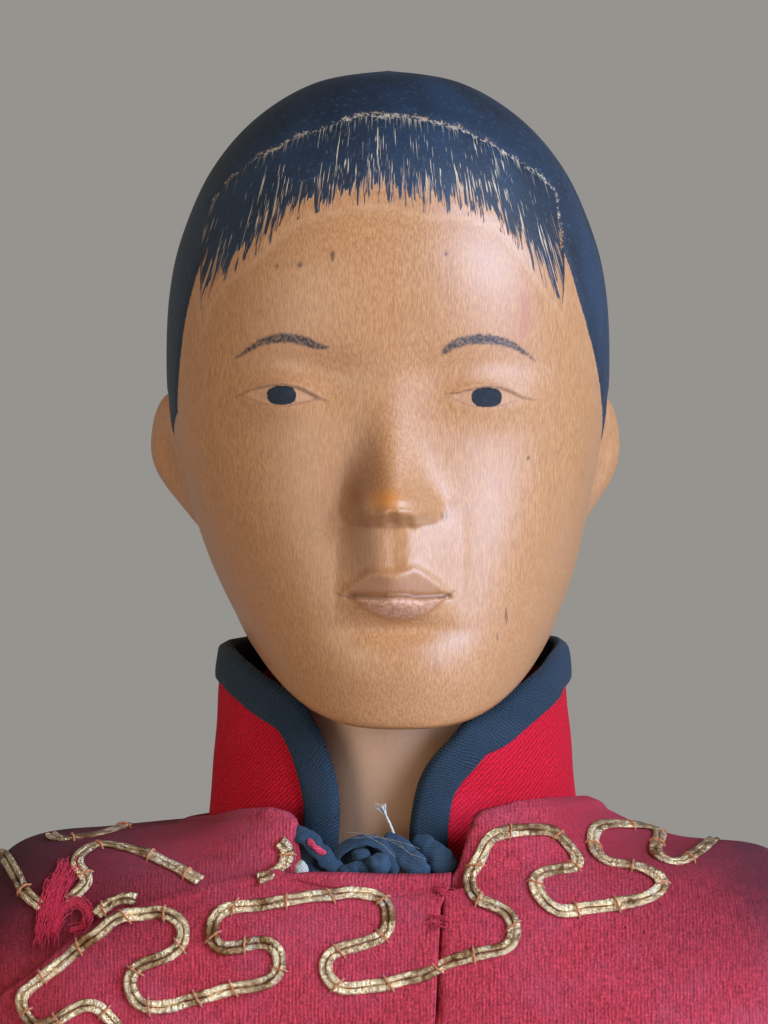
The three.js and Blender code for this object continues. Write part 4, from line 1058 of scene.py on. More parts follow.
def jacketFace(angle, at, opened=True):
    # levels read along the height, the neckline lifted to its edge and moved over to the collar, then soft
    # wrinkles pushed out along the plain faces; the right front stands a cloth higher past its seam
    rows = smoothRows(jacketLevels, at)
    square = np.interp(at, np.arange(len(jacketSquare)), jacketSquare)
    points = levelSurface(rows, angle, square, np.where(at > 7, 1.2 - 0.1 * (at - 7), 1.2))
    degrees = np.degrees(angle)
    # the left shoulder sits a little higher
    points[..., 2] += (1.25 * smoothStep(-0.35, -0.9, np.sin(angle))
                       * np.exp(-0.5 * ((at - 7.75) / 0.55) ** 2)[:, None])
    points[..., 0] += collar["aside"] * smoothStep(8, 9, at)[:, None]
    top = levelSurface(jacketLevels[-1:], angle, 2.0, 1.0)[0, :, 2]
    lift = smoothStep(8.2, 9, at)[:, None]
    closed = neckEdge[np.abs(neckEdge[:, 0]) > 30]
    plain = points.copy()
    plain[..., 2] += (np.interp(degrees, closed[:, 0], closed[:, 1]) - top) * lift
    if not opened:
        return plain
    n = normalsOf(plain, len(angle) > 300)
    points[..., 2] += (np.interp(degrees, neckEdge[:, 0], neckEdge[:, 1]) - top) * lift
    z = points[..., 2]
    push = jacketWrinkles(angle, z) * smoothStep(0, 1.2, len(jacketLevels) - 1 - at)[:, None]
    push = (push + jacket["raised"] * smoothStep(-0.14, 0.14, points[..., 0] - seamX(z))
            * (1 - smoothStep(70, 100, np.abs(degrees))))
    push = push + jacket["hem"] * smoothStep(8.76, 8.88, at)[:, None] * smoothStep(31, 36, np.abs(degrees))
    return points + n * push[..., None]


def clothRuns(points, angle):
    # threads run upright: across, the chest's own curved length over each x, or
    # over each angle at the sides; upward, the column's length
    turn = np.linspace(0, np.pi / 2, 200)
    chest = levelSurface(jacketLevels[4:5], turn, jacketSquare[4], 1.2)[0]
    length = runLength(chest[:, :2])
    folded = np.minimum(np.abs(angle), np.pi - np.abs(angle))
    byX = np.interp(np.abs(points[..., 0]), chest[:, 0], length)
    across = byX + (np.interp(folded, turn, length) - byX) * smoothStep(0.7, 1.15, folded)
    across = np.sign(angle) * np.where(np.abs(angle) > np.pi / 2, 2 * length[-1] - across, across)
    upward = np.cumsum(np.linalg.norm(np.diff(points, axis=0, prepend=points[:1]), axis=2), 0)
    return np.stack([across, upward], -1)


jacketAngle = np.radians(np.concatenate([np.linspace(-180, -38, 80, endpoint=False),
                                         np.linspace(-38, 38, 170, endpoint=False),
                                         np.linspace(38, 180, 80, endpoint=False)]))
jacketRow = np.concatenate([np.linspace(0, 4, 34, endpoint=False), np.linspace(4, 7, 32, endpoint=False),
                            np.linspace(7, 8.7, 34, endpoint=False), np.linspace(8.7, 9, 16)])
# Second front layer: its curved top edge as the picture shows it, carried on round the side to the seam
overlapEdge = [(7.0, -11.85), (4.4, -11.85), (-1.0, -11.95), (-7.1, -11.96), (-13.1, -13.1), (-17.1, -13.85),
               (-21.95, -15.9), (-26.4, -19.2), (-29.2, -21.6)]
overlapStart, overlapHem = -95, 137.0              # degrees round to the side seam, mm up to the hem
overlapSide = [(-80, 213.0), (overlapStart, 203.0)]


def onJacket(line):
    # angle and height of the plain jacket's own points seen under a line of the picture
    plain = jacketFace(jacketAngle, jacketRow, False)
    x, z = seen(plain)
    far = np.where(plain[..., 1] < 0, 0, 1e6)
    found = [np.argmin((x - a) ** 2 + (z - head["chin"] - b) ** 2 + far) for a, b in line]
    found = [np.unravel_index(index, x.shape) for index in found]
    return [(np.degrees(jacketAngle[j]), plain[i, j, 2]) for i, j in found]


overlapTop = np.array(sorted(onJacket(overlapEdge) + overlapSide))
jacketOuter = jacketFace(jacketAngle, jacketRow)
below = np.interp(np.degrees(jacketAngle), overlapTop[:, 0], overlapTop[:, 1]) - jacketOuter[..., 2]
covered = (smoothStep(0.3, 1.3, below) * smoothStep(overlapStart, -80, np.degrees(jacketAngle))
           * smoothStep(0.2, 0.8, seamX(jacketOuter[..., 2]) - jacketOuter[..., 0]))
jacketOuter = (jacketOuter - normalsOf(jacketFace(jacketAngle, jacketRow, False), True)
               * (jacket["under"] * covered)[..., None])
jacketPart = clothShell(jacketOuter, jacket["cloth"], True, clothRuns(jacketOuter, jacketAngle), 40)


def overlapFace():
    # columns of the plain jacket cut off at the edge's height and at the right front's seam,
    # set one cloth further out with a thicker hem along the edge
    columns = 190
    degrees = np.linspace(overlapStart, 24, 200)
    fine = jacketFace(np.radians(degrees), np.linspace(0, 9, 440), False)
    rising = np.maximum.accumulate(fine[..., 2], 0)
    top = np.interp(degrees, overlapTop[:, 0], overlapTop[:, 1])
    top = np.convolve(np.pad(top, 6, mode="edge"), np.ones(13) / 13, "valid")
    share = np.concatenate([np.linspace(0, 0.86, 56, endpoint=False),
                            np.linspace(0.86, 0.98, 32, endpoint=False), np.linspace(0.98, 1, 14)])
    height = overlapHem + (top - overlapHem) * share[:, None]
    x, y = [np.stack([np.interp(height[:, k], rising[:, k], fine[:, k, axis])
                      for k in range(len(degrees))], 1) for axis in (0, 1)]
    points = np.empty((len(share), columns, 3))
    turned, below = np.empty(points.shape[:2]), np.empty(points.shape[:2])
    for k in range(len(share)):
        past = 0.5 * smoothStep(0.975, 0.99, share[k]) - 0.1
        stop = np.interp(0, (x - seamX(height) - past)[k], degrees)
        turned[k] = np.linspace(overlapStart, stop, columns)
        below[k] = np.interp(turned[k], degrees, top - height[k])
        for axis, grid in enumerate((x, y, height)):
            points[k, :, axis] = np.interp(turned[k], degrees, grid[k])
    n = normalsOf(points, False)
    lift = jacket["overlapLift"] + jacketWrinkles(np.radians(turned), points[..., 2])
    lift = lift + jacket["hem"] * (1 - smoothStep(0.6, 1.1, below))
    return points + n * lift[..., None], clothRuns(points, np.radians(turned))


overlapOuter, overlapUv = overlapFace()
overlapPart = clothShell(overlapOuter, jacket["overlapCloth"], False, overlapUv, 40)


def shoulderShade(part):
    # marks the painted shade over the shoulders by how far each place lies up on them, and more on the left
    # one
    x, z = part["points"][:, 0], part["points"][:, 2]
    near = 1 - 0.75 * smoothStep(29, 41, np.abs(x))
    part["values"] = {"shoulder": near * smoothStep(12, 30, np.abs(x)) * smoothStep(221, 233, z),
                      "leftShoulder": near * smoothStep(6, 28, -x) * smoothStep(225, 231, z)}
    return part


def jacketFinish():
    # worn silk: fine upright ribs, broken by pilled fibres, over slow patches faded towards pink and purple
    f = Finish("jacket_silk", 0.72, Sheen_Weight=0.1, Sheen_Roughness=0.4, Specular_IOR_Level=0.22)
    f.shader.inputs["Sheen Tint"].default_value = colour(235, 170, 185)
    u, v = f.cloth()
    wobble = f.noise(f.place((1.6, 0.8, 1), True), detail=3)
    rib = f.calc("SINE", (u + wobble * 0.3) * (2 * np.pi / 0.27))
    slub = f.noise(f.place((4.2, 0.9, 1), True), detail=4, rough=0.7)
    pill = f.noise(f.place((5.0, 4.0, 1), True), detail=5, rough=0.75)
    worn = f.noise(f.place((120, 120, 120)), detail=6, rough=0.7)
    stain = f.noise(f.place((38, 38, 38)), detail=3)
    weave = rib * 0.4 + 0.5
    tone = f.calc("ADD", weave * 0.22, f.step(slub, 0.32, 0.68) * 0.4 + f.step(pill, 0.38, 0.64) * 0.44,
                  clamp=True)
    base = f.mix(tone, colour(90, 3, 16), colour(238, 72, 86))
    base = f.mix(f.step(worn, 0.42, 0.74) * 0.3, base, colour(180, 94, 114))
    base = f.mix(f.step(stain, 0.46, 0.66) * 0.5, base, colour(196, 18, 44))
    # painted shade: dark maroon over the shoulders, more so on the left, with fewer pale fibres there
    left = f.value("leftShoulder")
    base = f.mix(f.value("shoulder") * (f.step(worn, 0.35, 0.65) * 0.2 + 0.68), base, colour(50, 10, 22))
    base = f.mix(left * 0.62, base, colour(44, 4, 14))
    fibre = f.noise(f.place((13, 3.0, 1), True), detail=4, rough=0.8)
    fuzz = f.noise(f.place((3.2, 9.0, 1), True), detail=4, rough=0.8)
    fine = f.calc("MAXIMUM", f.step(fibre, 0.61, 0.7), f.step(fuzz, 0.66, 0.74) * 0.8)
    base = f.mix(fine * 0.66 * (1 - left * 0.6), base, colour(232, 158, 168))
    lift = weave * 0.36 + (pill * 1.5 + slub)
    return f.link(Base_Color=base, Normal=f.bump(lift, 0.75, 0.00026))


jacketSilk = jacketFinish()
addPiece("jacket_body_cloth", shoulderShade(jacketPart), jacketSilk, "torso", ["jacket_body"])
addPiece("jacket_overlap_cloth", shoulderShade(overlapPart), jacketSilk, "torso",
         ["jacket_overlap"])
print("jacket sewn")

# Arm line: level out of the shoulder, round the bend, then down the forearm
arm = {"height": 220.8, "bendAt": 34.0, "bendRadius": 13.4, "sweep": np.radians(83), "wrist": 103.41,
       "sleeveCloth": 1.0, "underCloth": 0.8, "cuffCloth": 1.2, "blend": (28, 34)}
# rows of each piece on the arm: distance along it, half size across the bend, half depth
sleeveRows = [[27, 12.2, 11.0], [31, 12.4, 12.0], [36, 12.5, 12.4], [45, 12.5, 12.6], [55, 12.6, 12.7],
              [76, 13.2, 13.2], [98.4, 14.0, 14.0]]
underSleeveRows = [[60, 9.2, 9.2], [80, 9.3, 9.2], [104.9, 9.2, 9.2]]
cuffRows = [[104.0, 9.35, 9.35], [104.6, 9.75, 9.75], [106.4, 9.85, 9.85], [107.8, 9.5, 9.5]]
stuffedRows = [[26.3, 0.0, 0.0], [26.4, 7.4, 7.4], [34, 8, 8], [54, 8, 8], [80, 7.1, 7.1], [98, 5.9, 5.9],
               [99.5, 5.3, 5.3], [101, 5.6, 5.6], [103.3, 5.4, 5.4], [103.4, 0, 0]]
handRows = [[0, 0, 0], [0.05, 2.7, 3.0], [3, 2.6, 3.3], [6, 2.5, 4.4], [9, 2.4, 5.0], [12, 2.1, 4.9],
            [15.5, 1.7, 4.3], [18, 1.3, 3.4], [19.6, 0.7, 2.0], [20, 0, 0]]
wristTie = {"start": 99.4, "pitch": 0.42, "radius": 5.55, "thread": 0.24, "turns": 4}


def armRings(rows, columns):
    # a ring stands square to the arm's line at each row
    s = rows[:, 0]
    a = np.clip((s - arm["bendAt"]) / arm["bendRadius"], 0, arm["sweep"])
    past = np.maximum(s - arm["bendAt"] - arm["bendRadius"] * arm["sweep"], 0)
    x = np.minimum(s, arm["bendAt"]) + arm["bendRadius"] * np.sin(a) + past * np.cos(a)
    z = arm["height"] - arm["bendRadius"] * (1 - np.cos(a)) - past * np.sin(a)
    up = np.stack([np.sin(a), np.cos(a)], 1)
    v = fullTurn(columns)
    reach = rows[:, 1, None] * np.cos(v)
    return np.stack([x[:, None] + up[:, :1] * reach, -rows[:, 2, None] * np.sin(v),
                     z[:, None] + up[:, 1:] * reach], -1), v


def mirrored(part):
    # the part on the doll's other side
    turned = dict(part)
    turned["points"] = part["points"] * (-1, 1, 1)
    turned["quads"] = part["quads"][:, ::-1]
    if "tris" in part:
        turned["tris"] = part["tris"][:, ::-1]
    return turned


def forSide(part, sign):
    return part if sign > 0 else mirrored(part)


def armTable(table, count):
    # a table of rows read at even steps of its smooth curve
    table = np.asarray(table, float)
    return smoothRows(table, np.linspace(0, len(table) - 1, count))


def sleevePart():
    # rings along the arm, pushed in and out by folds
    rows = armTable(sleeveRows, 110)
    points, v = armRings(rows, 84)
    n = normalsOf(points, True)
    s = rows[:, :1]
    # slow dents, creases inside the bend, slanting folds down from it and longer ones towards the cuff
    folds = 0.3 * softNoise(np.cos(v) * 12 + 3 * np.sin(v), s + 4 * np.sin(v), 9, 31) * smoothStep(28, 38, s)
    folds += (0.6 * np.sin(s * 1.05 + 1.6 * np.sin(v)) * between(36, 42, 56, 66, s)
              * np.clip(-np.cos(v), 0, 1))
    folds += (0.5 * softNoise(np.cos(v) * 6 + s * 0.5, s * 0.9 - np.sin(v) * 9, 6, 33)
              * between(40, 52, 74, 90, s))
    folds += 0.45 * softNoise(np.cos(v) * 11, np.sin(v) * 11 + s * 0.12, 6, 34) * smoothStep(62, 86, s)
    outer = points + n * folds[..., None]
    return clothShell(outer, arm["sleeveCloth"], True, aroundUv(v, 12.5, s)), outer


sleeve, sleeveOuter = sleevePart()
underPoints, underTurn = armRings(armTable(underSleeveRows, 60), 72)
underSleeve = clothShell(underPoints, arm["underCloth"], True,
                         aroundUv(underTurn, 9.2, np.linspace(60, 105, 60)[:, None]))
cuffTable = armTable(cuffRows, 24)
cuffPoints, cuffTurn = armRings(cuffTable, 72)
cuffBinding = clothShell(cuffPoints, arm["cuffCloth"], True, aroundUv(cuffTurn, 9.6, cuffTable[:, :1]))
stuffedTable = armTable(stuffedRows, 90)
stuffedPoints, stuffedTurn = armRings(stuffedTable, 40)
stuffedArm = surface(stuffedPoints, False, True, aroundUv(stuffedTurn, 8, stuffedTable[:, :1]))
# thread round the wrist: small rings carried round the arm
threadTurn = fullTurn(10)[::-1]
threadOut = wristTie["radius"] + wristTie["thread"] * np.cos(threadTurn)
tieLoops = []
for k in range(wristTie["turns"]):
    threadAt = wristTie["start"] + k * wristTie["pitch"] + wristTie["thread"] * np.sin(threadTurn)
    tieLoops.append(surface(armRings(np.stack([threadAt, threadOut, threadOut], 1), 40)[0], True, True))


def handParts():
    # palm and fingers as one flat form: ring sizes along the hand, with
    # grooves between four fingers pressed into both faces
    start = arm["wrist"] + 0.3
    table = armTable(handRows, 90)
    rows = table + (start, 0, 0)
    points, v = armRings(rows, 96)
    across = -table[:, 2:] * np.sin(v) / 5.0
    finger = smoothStep(9.5, 12.5, table[:, :1])
    groove = sum(np.exp(-((across - g) / 0.075) ** 2) for g in (-0.46, 0.02, 0.48)) * finger
    knuckle = 0.12 * np.exp(-((table[:, :1] - 10) / 0.8) ** 2)
    centre = points.mean(1, keepdims=True)
    squeeze = 1 - 0.42 * groove + knuckle
    points = np.stack([centre[..., 0] + (points[..., 0] - centre[..., 0]) * squeeze, points[..., 1],
                       centre[..., 2] + (points[..., 2] - centre[..., 2]) * squeeze], -1)
    points[..., 0] -= 0.006 * np.maximum(table[:, :1] - 8, 0) ** 2      # fingers curl a little to the body
    wrist = centre[2, 0]
    reach = unit(centre[-2, 0] - wrist)
    route = np.array([[0, -3.2, 3.5], [0, -4.7, 6.5], [0.1, -5.6, 9.5], [0.0, -5.7, 12.2]])
    path, _ = smoothPath(wrist + route[:, 2:] * reach + route[:, :2] @ np.eye(2, 3), 30)
    share = np.linspace(0, 1, 30)
    tip = np.sqrt(np.clip(1 - np.clip((share - 0.55) / 0.45, 0, 1) ** 2.4, 0.0004, 1))
    thumb = tube(path, 1.6 * tip * (0.75 + 0.25 * np.sin(np.pi * share)), 22, 0.9)
    return [surface(points, False, True, aroundUv(v, 4, table[:, :1])), thumb]


def handFinish():
    # the head's wood without paint
    f = Finish("carved_hands", 0.42, Specular_IOR_Level=0.4)
    base, fleck = woodBase(f)
    return f.link(Base_Color=base, Normal=f.bump(fleck, 0.25, 0.0001))


def cottonFinish(name, light, dark, pitch):
    # plain weave: two crossed sets of threads over slow yellowing
    f = Finish(name, 0.9, Sheen_Weight=0.2)
    u, v = f.cloth()
    warp = f.calc("SINE", u * (2 * np.pi / pitch))
    weft = f.calc("SINE", v * (2 * np.pi / pitch))
    weave = warp * weft * 0.5 + 0.5
    aged = f.noise(f.place((70, 70, 70)), detail=4)
    base = f.mix(weave * 0.45 + aged * 0.55, dark, light)
    return f.link(Base_Color=base, Normal=f.bump(weave + aged, 0.45, 0.00012))


def threadFinish(name, light, dark):
    # twisted plies running slantwise round the thread
    f = Finish(name, 0.8, Sheen_Weight=0.2)
    u, v = f.cloth()
    ply = f.calc("SINE", u * 14.0 + v * (2 * np.pi))
    ply = ply * 0.5 + 0.5
    base = f.mix(ply * 0.6 + f.noise(f.place((900, 900, 900))) * 0.4, dark, light)
    return f.link(Base_Color=base, Normal=f.bump(ply, 0.5, 0.00006))


bodyCotton = cottonFinish("body_cotton", colour(226, 216, 196), colour(176, 160, 132), 0.45)
bindingThread = threadFinish("binding_thread", colour(214, 204, 184), colour(150, 136, 110))
handWood = handFinish()
hand = handParts()
for side in ("left", "right"):
    sign = np.sign(jointAt[side + "_shoulder"][0])
    body = side + "_arm"
    start, end = [(sign * reach * mm, middleY * mm, arm["height"] * mm) for reach in arm["blend"]]
    addPiece(side + "_sleeve_cloth", shoulderShade(forSide(sleeve, sign)), jacketSilk, body,
             [side + "_sleeve"], ("torso", body, start, end))
    addPiece(side + "_under_sleeve_cloth", forSide(underSleeve, sign), scarletTwill, body,
             [side + "_under_sleeve"])
    addPiece(side + "_cuff_edge", forSide(cuffBinding, sign), navyTwill, body,
             [side + "_cuff_binding"])
    addPiece(side + "_stuffed_arm", forSide(stuffedArm, sign), bodyCotton, body,
                       [side + "_arm"])
    addPiece(side + "_wrist_binding", [forSide(p, sign) for p in tieLoops], bindingThread, body,
             [side + "_wrist_tie"])
    addPiece(side + "_carved_hand", [forSide(p, sign) for p in hand], handWood, body,
             [side + "_hand"])
print("arms dressed")

# Gold couching: routes on the cloth as the picture shows them, mm from the middle line and above the chin
couching = {"half": 0.25, "gap": 0.24, "flat": 0.6, "lift": 0.17, "step": 0.22, "stitchEvery": 3.6,
            "stitch": 0.075, "stitchReach": 0.68, "stitchHeight": 0.47, "backFrom": 46}
mainRun = [(-24.8, -41.2), (-27.0, -40.2), (-27.6, -38.2), (-26.0, -36.8), (-23.4, -36.6), (-21.6, -35.2),
           (-22.2, -33.2), (-25.0, -32.2), (-27.4, -30.8), (-27.6, -28.6), (-25.4, -27.2), (-22.6, -26.4),
           (-20.6, -25.2), (-20.2, -23.8), (-20.7, -22.7), (-21.3, -22.0), (-22.4, -21.4), (-23.6, -21.7),
           (-25.4, -22.9), (-26.5, -23.0), (-27.2, -22.3), (-27.6, -21.4), (-27.5, -20.4), (-25.1, -18.5),
           (-21.6, -15.7), (-19.7, -14.6), (-17.5, -14.4), (-16.7, -14.5), (-15.6, -15.3), (-15.7, -17.0),
           (-16.9, -17.8), (-18.4, -18.4), (-19.5, -19.1), (-19.5, -20.2), (-18.8, -21.4), (-17.8, -21.7),
           (-16.4, -21.4), (-14.8, -21.0), (-11.6, -20.2), (-9.1, -19.7), (-8.3, -18.6), (-8.3, -17.3),
           (-9.2, -16.7), (-10.7, -16.8), (-12.7, -17.2), (-13.3, -16.4), (-13.2, -15.0), (-12.4, -14.2),
           (-9.4, -13.9), (-6.8, -13.4), (-2.0, -13.0), (-0.3, -13.5), (0.1, -15.0), (-0.1, -16.0),
           (-2.0, -16.8), (-3.8, -17.2), (-4.7, -18.1), (-4.5, -19.4), (-3.4, -20.1), (-0.8, -20.0),
           (3.2, -18.9), (4.8, -18.1), (8.9, -17.1), (9.5, -16.1), (9.2, -14.8), (8.3, -14.0), (7.0, -13.6),
           (6.3, -12.7), (6.3, -11.4), (7.0, -10.1), (7.9, -8.6), (10.1, -8.3), (12.3, -8.3), (13.6, -9.3),
           (14.5, -10.6), (13.8, -11.1), (11.7, -11.4), (11.0, -12.0), (11.7, -13.4), (12.8, -14.3),
           (14.6, -14.2), (18.5, -13.6), (20.8, -12.6), (20.3, -11.7), (18.7, -10.9), (16.7, -10.7),
           (15.7, -9.9), (15.3, -8.8), (15.9, -7.9), (17.9, -7.9), (20.0, -8.1), (20.8, -8.6), (20.1, -9.6),
           (20.8, -10.4), (22.3, -10.7), (23.5, -9.9), (24.8, -8.9)]
shoulderRuns = [[(-14.0, -12.2), (-14.9, -11.7), (-17.8, -10.2), (-20.4, -9.5), (-22.1, -9.4), (-23.3, -10.1),
                 (-23.7, -10.7), (-23.0, -11.6), (-22.6, -12.0), (-23.6, -13.2), (-24.5, -13.6)],
                [(-19.3, -7.6), (-21.0, -8.4), (-22.9, -8.7), (-24.8, -9.0), (-25.6, -8.75), (-25.6, -8.3),
                 (-24.6, -8.05)],
                [(-30.0, -8.6), (-29.2, -9.8), (-28.5, -11.0), (-27.5, -12.7), (-26.5, -13.7),
                 (-25.9, -14.0)],
                [(-8.4, -9.0), (-7.75, -9.5), (-7.55, -10.2), (-7.95, -10.9), (-9.0, -11.6), (-10.0, -12.0)],
                [(-22.1, -14.9), (-21.3, -14.0), (-20.1, -13.4), (-18.9, -13.6)]]
garmentParts = [surface(jacketOuter, False, True), surface(overlapOuter), surface(sleeveOuter, False, True),
                mirrored(surface(sleeveOuter, False, True))]
garmentQuads = [p["quads"] + o for p, o in zip(garmentParts, offsetsOf(garmentParts))]
garments = BVHTree.FromPolygons(np.concatenate([p["points"] for p in garmentParts]).tolist(),
                                np.concatenate(garmentQuads).tolist())


def evened(rows):
    # each column averaged over seven steps
    return np.stack([np.convolve(np.pad(column, 3, mode="edge"), np.ones(7) / 7, "valid")
                     for column in rows.T], 1)


def laid(route, pitch, behind=False):
    # sight lines through an even walk of the route meet the cloth; places and directions are evened out
    way = 1 if behind else -1
    _, length = smoothPath(route, 40)
    path, _ = smoothPath(route, max(int(length / pitch), 6))
    eye = Vector((view["middleX"], view["distance"] * way, view["middleZ"]))
    aims = [Vector((x, 0, z + head["chin"])) for x, z in path]
    hits = [garments.ray_cast(eye, (aim - eye).normalized()) for aim in aims]
    # a sight line that passes over a shoulder takes the nearest cloth
    hits = [h if h[0] is not None and h[0].y * way > -2 else garments.find_nearest(aim)
            for h, aim in zip(hits, aims)]
    place = np.array([h[0] for h in hits])
    out = np.array([h[1] for h in hits])
    out *= np.sign(out[:, 1:2]) * way
    return evened(place), unit(evened(out))


def couchedParts(route, behind=False):
    # two flat foil threads side by side, and a stitch over both every few millimetres
    place, out = laid(route, couching["step"], behind)
    along = unit(np.gradient(place, axis=0))
    side = np.cross(out, along)
    step = np.arange(len(place)) * couching["step"]
    wander = 0.05 * np.sin(step * 0.8) + 0.03 * np.sin(step * 2.1 + 1)
    height = couching["lift"] + 0.04 * np.sin(step * 0.6 + 2)
    foil, stitches = [], []
    for way in (-1, 1):
        path = place + side * (way * (couching["gap"] + 0.02) + wander)[:, None] + out * height[:, None]
        width = couching["half"] * (1 + 0.1 * np.sin(step * 1.7 + way))
        foil.append(tube(path, width, 10, couching["flat"], out))
    arch = np.linspace(-1, 1, 7)
    for at in np.arange(1.2, step[-1] - 0.8, couching["stitchEvery"]):
        k = int(np.clip(at / couching["step"] + seed.uniform(-2, 2), 1, len(place) - 2))
        slant = along[k] * seed.uniform(-0.35, 0.35)
        path = (place[k] + np.outer(arch, side[k] * couching["stitchReach"] + slant)
                + np.outer(couching["stitchHeight"] * (1 - arch ** 4) - 0.05, out[k]) + side[k] * wander[k])
        stitches.append(tube(path, couching["stitch"], 6))
    return foil, stitches


def foilFinish():
    # tarnished gilt paper wound round a thread: crinkles and cracks across it, worn pale and brown patches
    f = Finish("gold_foil", 0.36, Metallic=0.8)
    crease = f.noise(f.place((2.4, 3, 1), True), detail=5, rough=0.75)
    crack = f.noise(f.place((3.6, 0.8, 1), True), detail=3, rough=0.6)
    dull = f.noise(f.place((420, 420, 420)), detail=4, rough=0.65)
    bare = f.noise(f.place((700, 700, 700)), detail=3, rough=0.6)
    base = f.mix(f.step(dull, 0.34, 0.6), colour(136, 92, 50), colour(255, 224, 174))
    base = f.mix(f.step(bare, 0.54, 0.68) * 0.6, base, colour(252, 236, 204))
    split = 1.0 - f.step(f.calc("ABSOLUTE", crack - 0.5), 0.004, 0.02)
    base = f.mix(split * 0.6, base, colour(96, 60, 34))
    rough = 0.1 + dull * 0.28
    metal = 0.94 - f.step(bare, 0.56, 0.68) * 0.4
    lift = crease * 2.0 - split * 0.4
    return f.link(Base_Color=base, Roughness=rough, Metallic=metal, Normal=f.bump(lift, 0.75, 0.00018))


foilParts, stitchParts = [], []
backRun = mainRun[couching["backFrom"]:]
for route, behind in [(mainRun, False), (backRun, True)] + [(r, False) for r in shoulderRuns]:
    foil, stitches = couchedParts(route, behind)
    foilParts += foil
    stitchParts += stitches
addPiece("gold_couching", foilParts, foilFinish(), "torso")
addPiece("couching_stitches", stitchParts,
         threadFinish("couching_thread", colour(214, 132, 74), colour(150, 74, 36)), "torso")


def combedThreads(route, width, count, radius, seedNumber):
    # fine loose threads side by side along a route, each wandering a little and ending where it likes
    r = np.random.default_rng(seedNumber)
    parts = []
    for _ in range(count):
        own = (np.array(route) + r.normal(0, 0.2, (len(route), 2))
               + [r.uniform(-1, 1) * width, r.uniform(-0.4, 0.4)])
        first = r.integers(0, len(route) - 3)
        place, out = laid(own[first:r.integers(first + 3, len(route) + 1)], 0.25)
        lift = radius + 0.3 * np.abs(np.sin(np.linspace(0, np.pi * 2, len(place)) + r.uniform(0, 3)))
        parts.append(tube(place + out * lift[:, None], radius, 6))
    return parts


loosePath = [(-23.9, -10.6), (-24.4, -11.6), (-25.0, -12.7), (-25.4, -13.8), (-25.6, -15.0), (-25.7, -16.2),
             (-25.8, -16.9)]
loopPath = [(-25.3, -16.2), (-24.9, -15.2), (-24.6, -14.3), (-24.1, -13.8), (-23.4, -13.7), (-22.8, -14.1),
            (-22.4, -14.8), (-22.7, -15.5), (-23.4, -15.7), (-24.1, -15.9)]
loosePlace, looseOut = laid(loopPath, 0.2)
redTuft = [tube(loosePlace + looseOut * 0.2, 0.24, 12, 0.6, looseOut)]
# the hanging tuft and its loop: half width, number of threads, thread radius
redTuft += combedThreads(loosePath, 0.8, 170, 0.034, 3) + combedThreads(loopPath, 0.28, 60, 0.034, 4)
# knotted thread ends on the front seam
for atX, atZ, own in ((4.1, -12.7, 11), (3.75, -15.2, 12)):
    knotPath = [(atX - 0.75 + 0.3 * k, atZ + 0.1 * (-1) ** k) for k in range(6)]
    redTuft += combedThreads(knotPath, 0.15, 26, 0.036, own)
addPiece("loose_red_threads", redTuft, threadFinish("red_thread", colour(206, 4, 52), colour(156, 0, 34)),
         "torso")
scrap = lump(pictured([(-6.55, -11.25)], -15.2)[0], (0.5, 0.32, 0.74), 5)
addPiece("lining_scrap", [scrap],
         cottonFinish("lining_cotton", colour(206, 198, 188), colour(146, 136, 124), 0.3), "torso")
stem = np.array([[0.8, -9.4], [0.5, -8.6], [0.15, -7.7], [-0.2, -7.0]])
whiteThread = [tube(smoothPath(pictured(stem, [-13.9, -13.4, -13.1, -12.9]), 24)[0],
                    np.linspace(0.11, 0.08, 24), 8)]
tuft = np.random.default_rng(9)
frayedEnds = 34
for k in range(frayedEnds):
    lean, reach = tuft.uniform(-0.62, 0.2), tuft.uniform(0.35, 0.85)
    tip = np.array([[-0.1, -7.2], [-0.25 + 0.4 * lean, -7.0 + 0.5 * reach], [-0.35 + lean, -6.95 + reach]])
    whiteThread.append(tube(smoothPath(pictured(tip, -12.85 - 0.03 * k), 14)[0], np.linspace(0.04, 0.02, 14),
                            5))
addPiece("frayed_white_thread", whiteThread,
         threadFinish("white_thread", colour(216, 212, 202), colour(172, 164, 148)), "torso")
stray = [tube(smoothPath(pictured(route, depth), 30)[0], 0.017, 5) for route, depth in (
    ([(-3.4, -8.3), (-1.6, -8.5), (0.2, -9.0), (1.6, -9.9), (2.6, -11.0)], -14.8),
    ([(-2.7, -8.8), (-0.8, -8.7), (1.0, -9.1), (2.4, -9.6)], -14.9),
    ([(0.9, -9.2), (1.6, -9.9), (2.9, -10.4)], -15.0), ([(-2.0, -8.4), (-0.4, -9.3), (0.5, -10.2)], -14.9))]
addPiece("stray_fibres", stray, threadFinish("stray_fibre", colour(158, 144, 118), colour(110, 100, 82)),
         "torso")
print("couching laid")

# Stuffed body, under-jacket and trouser seat: height, half width, half depth
bodyLevels = np.array([[136.3, 0, 0], [136.3, 19, 10], [138.3, 24, 14.5], [142.3, 25, 15.5], [170.3, 22, 14],
                       [200.3, 25.5, 16], [220.8, 26, 13.5], [224.8, 23, 11.5],
                       [227.8, 10.4, 9.4], [229, 8.5, 8.5], [232.3, 8.4, 8.4]])


def bodyShape(table, columns=120, square=2.3):
    # level rounded rings from rows of height, half width and half depth
    rows = np.stack([table[:, 1], table[:, 2], table[:, 2], table[:, 0], table[:, 0], table[:, 0],
                     table[:, 0] * 0], 1)
    v = fullTurn(columns)
    return levelSurface(rows, v, square, 2), aroundUv(v, 22, table[:, :1])


def bodyTable(low, high, offset, count):
    # the body's levels between two heights, set out by an offset
    z = np.linspace(low, high, count)
    solid = bodyLevels[1:]
    at = np.interp(z, solid[:, 0] + np.arange(len(solid)) * 1e-6, np.arange(len(solid)))
    shape = smoothRows(solid, at)
    return np.stack([z, shape[:, 1] + offset, shape[:, 2] + offset], 1)


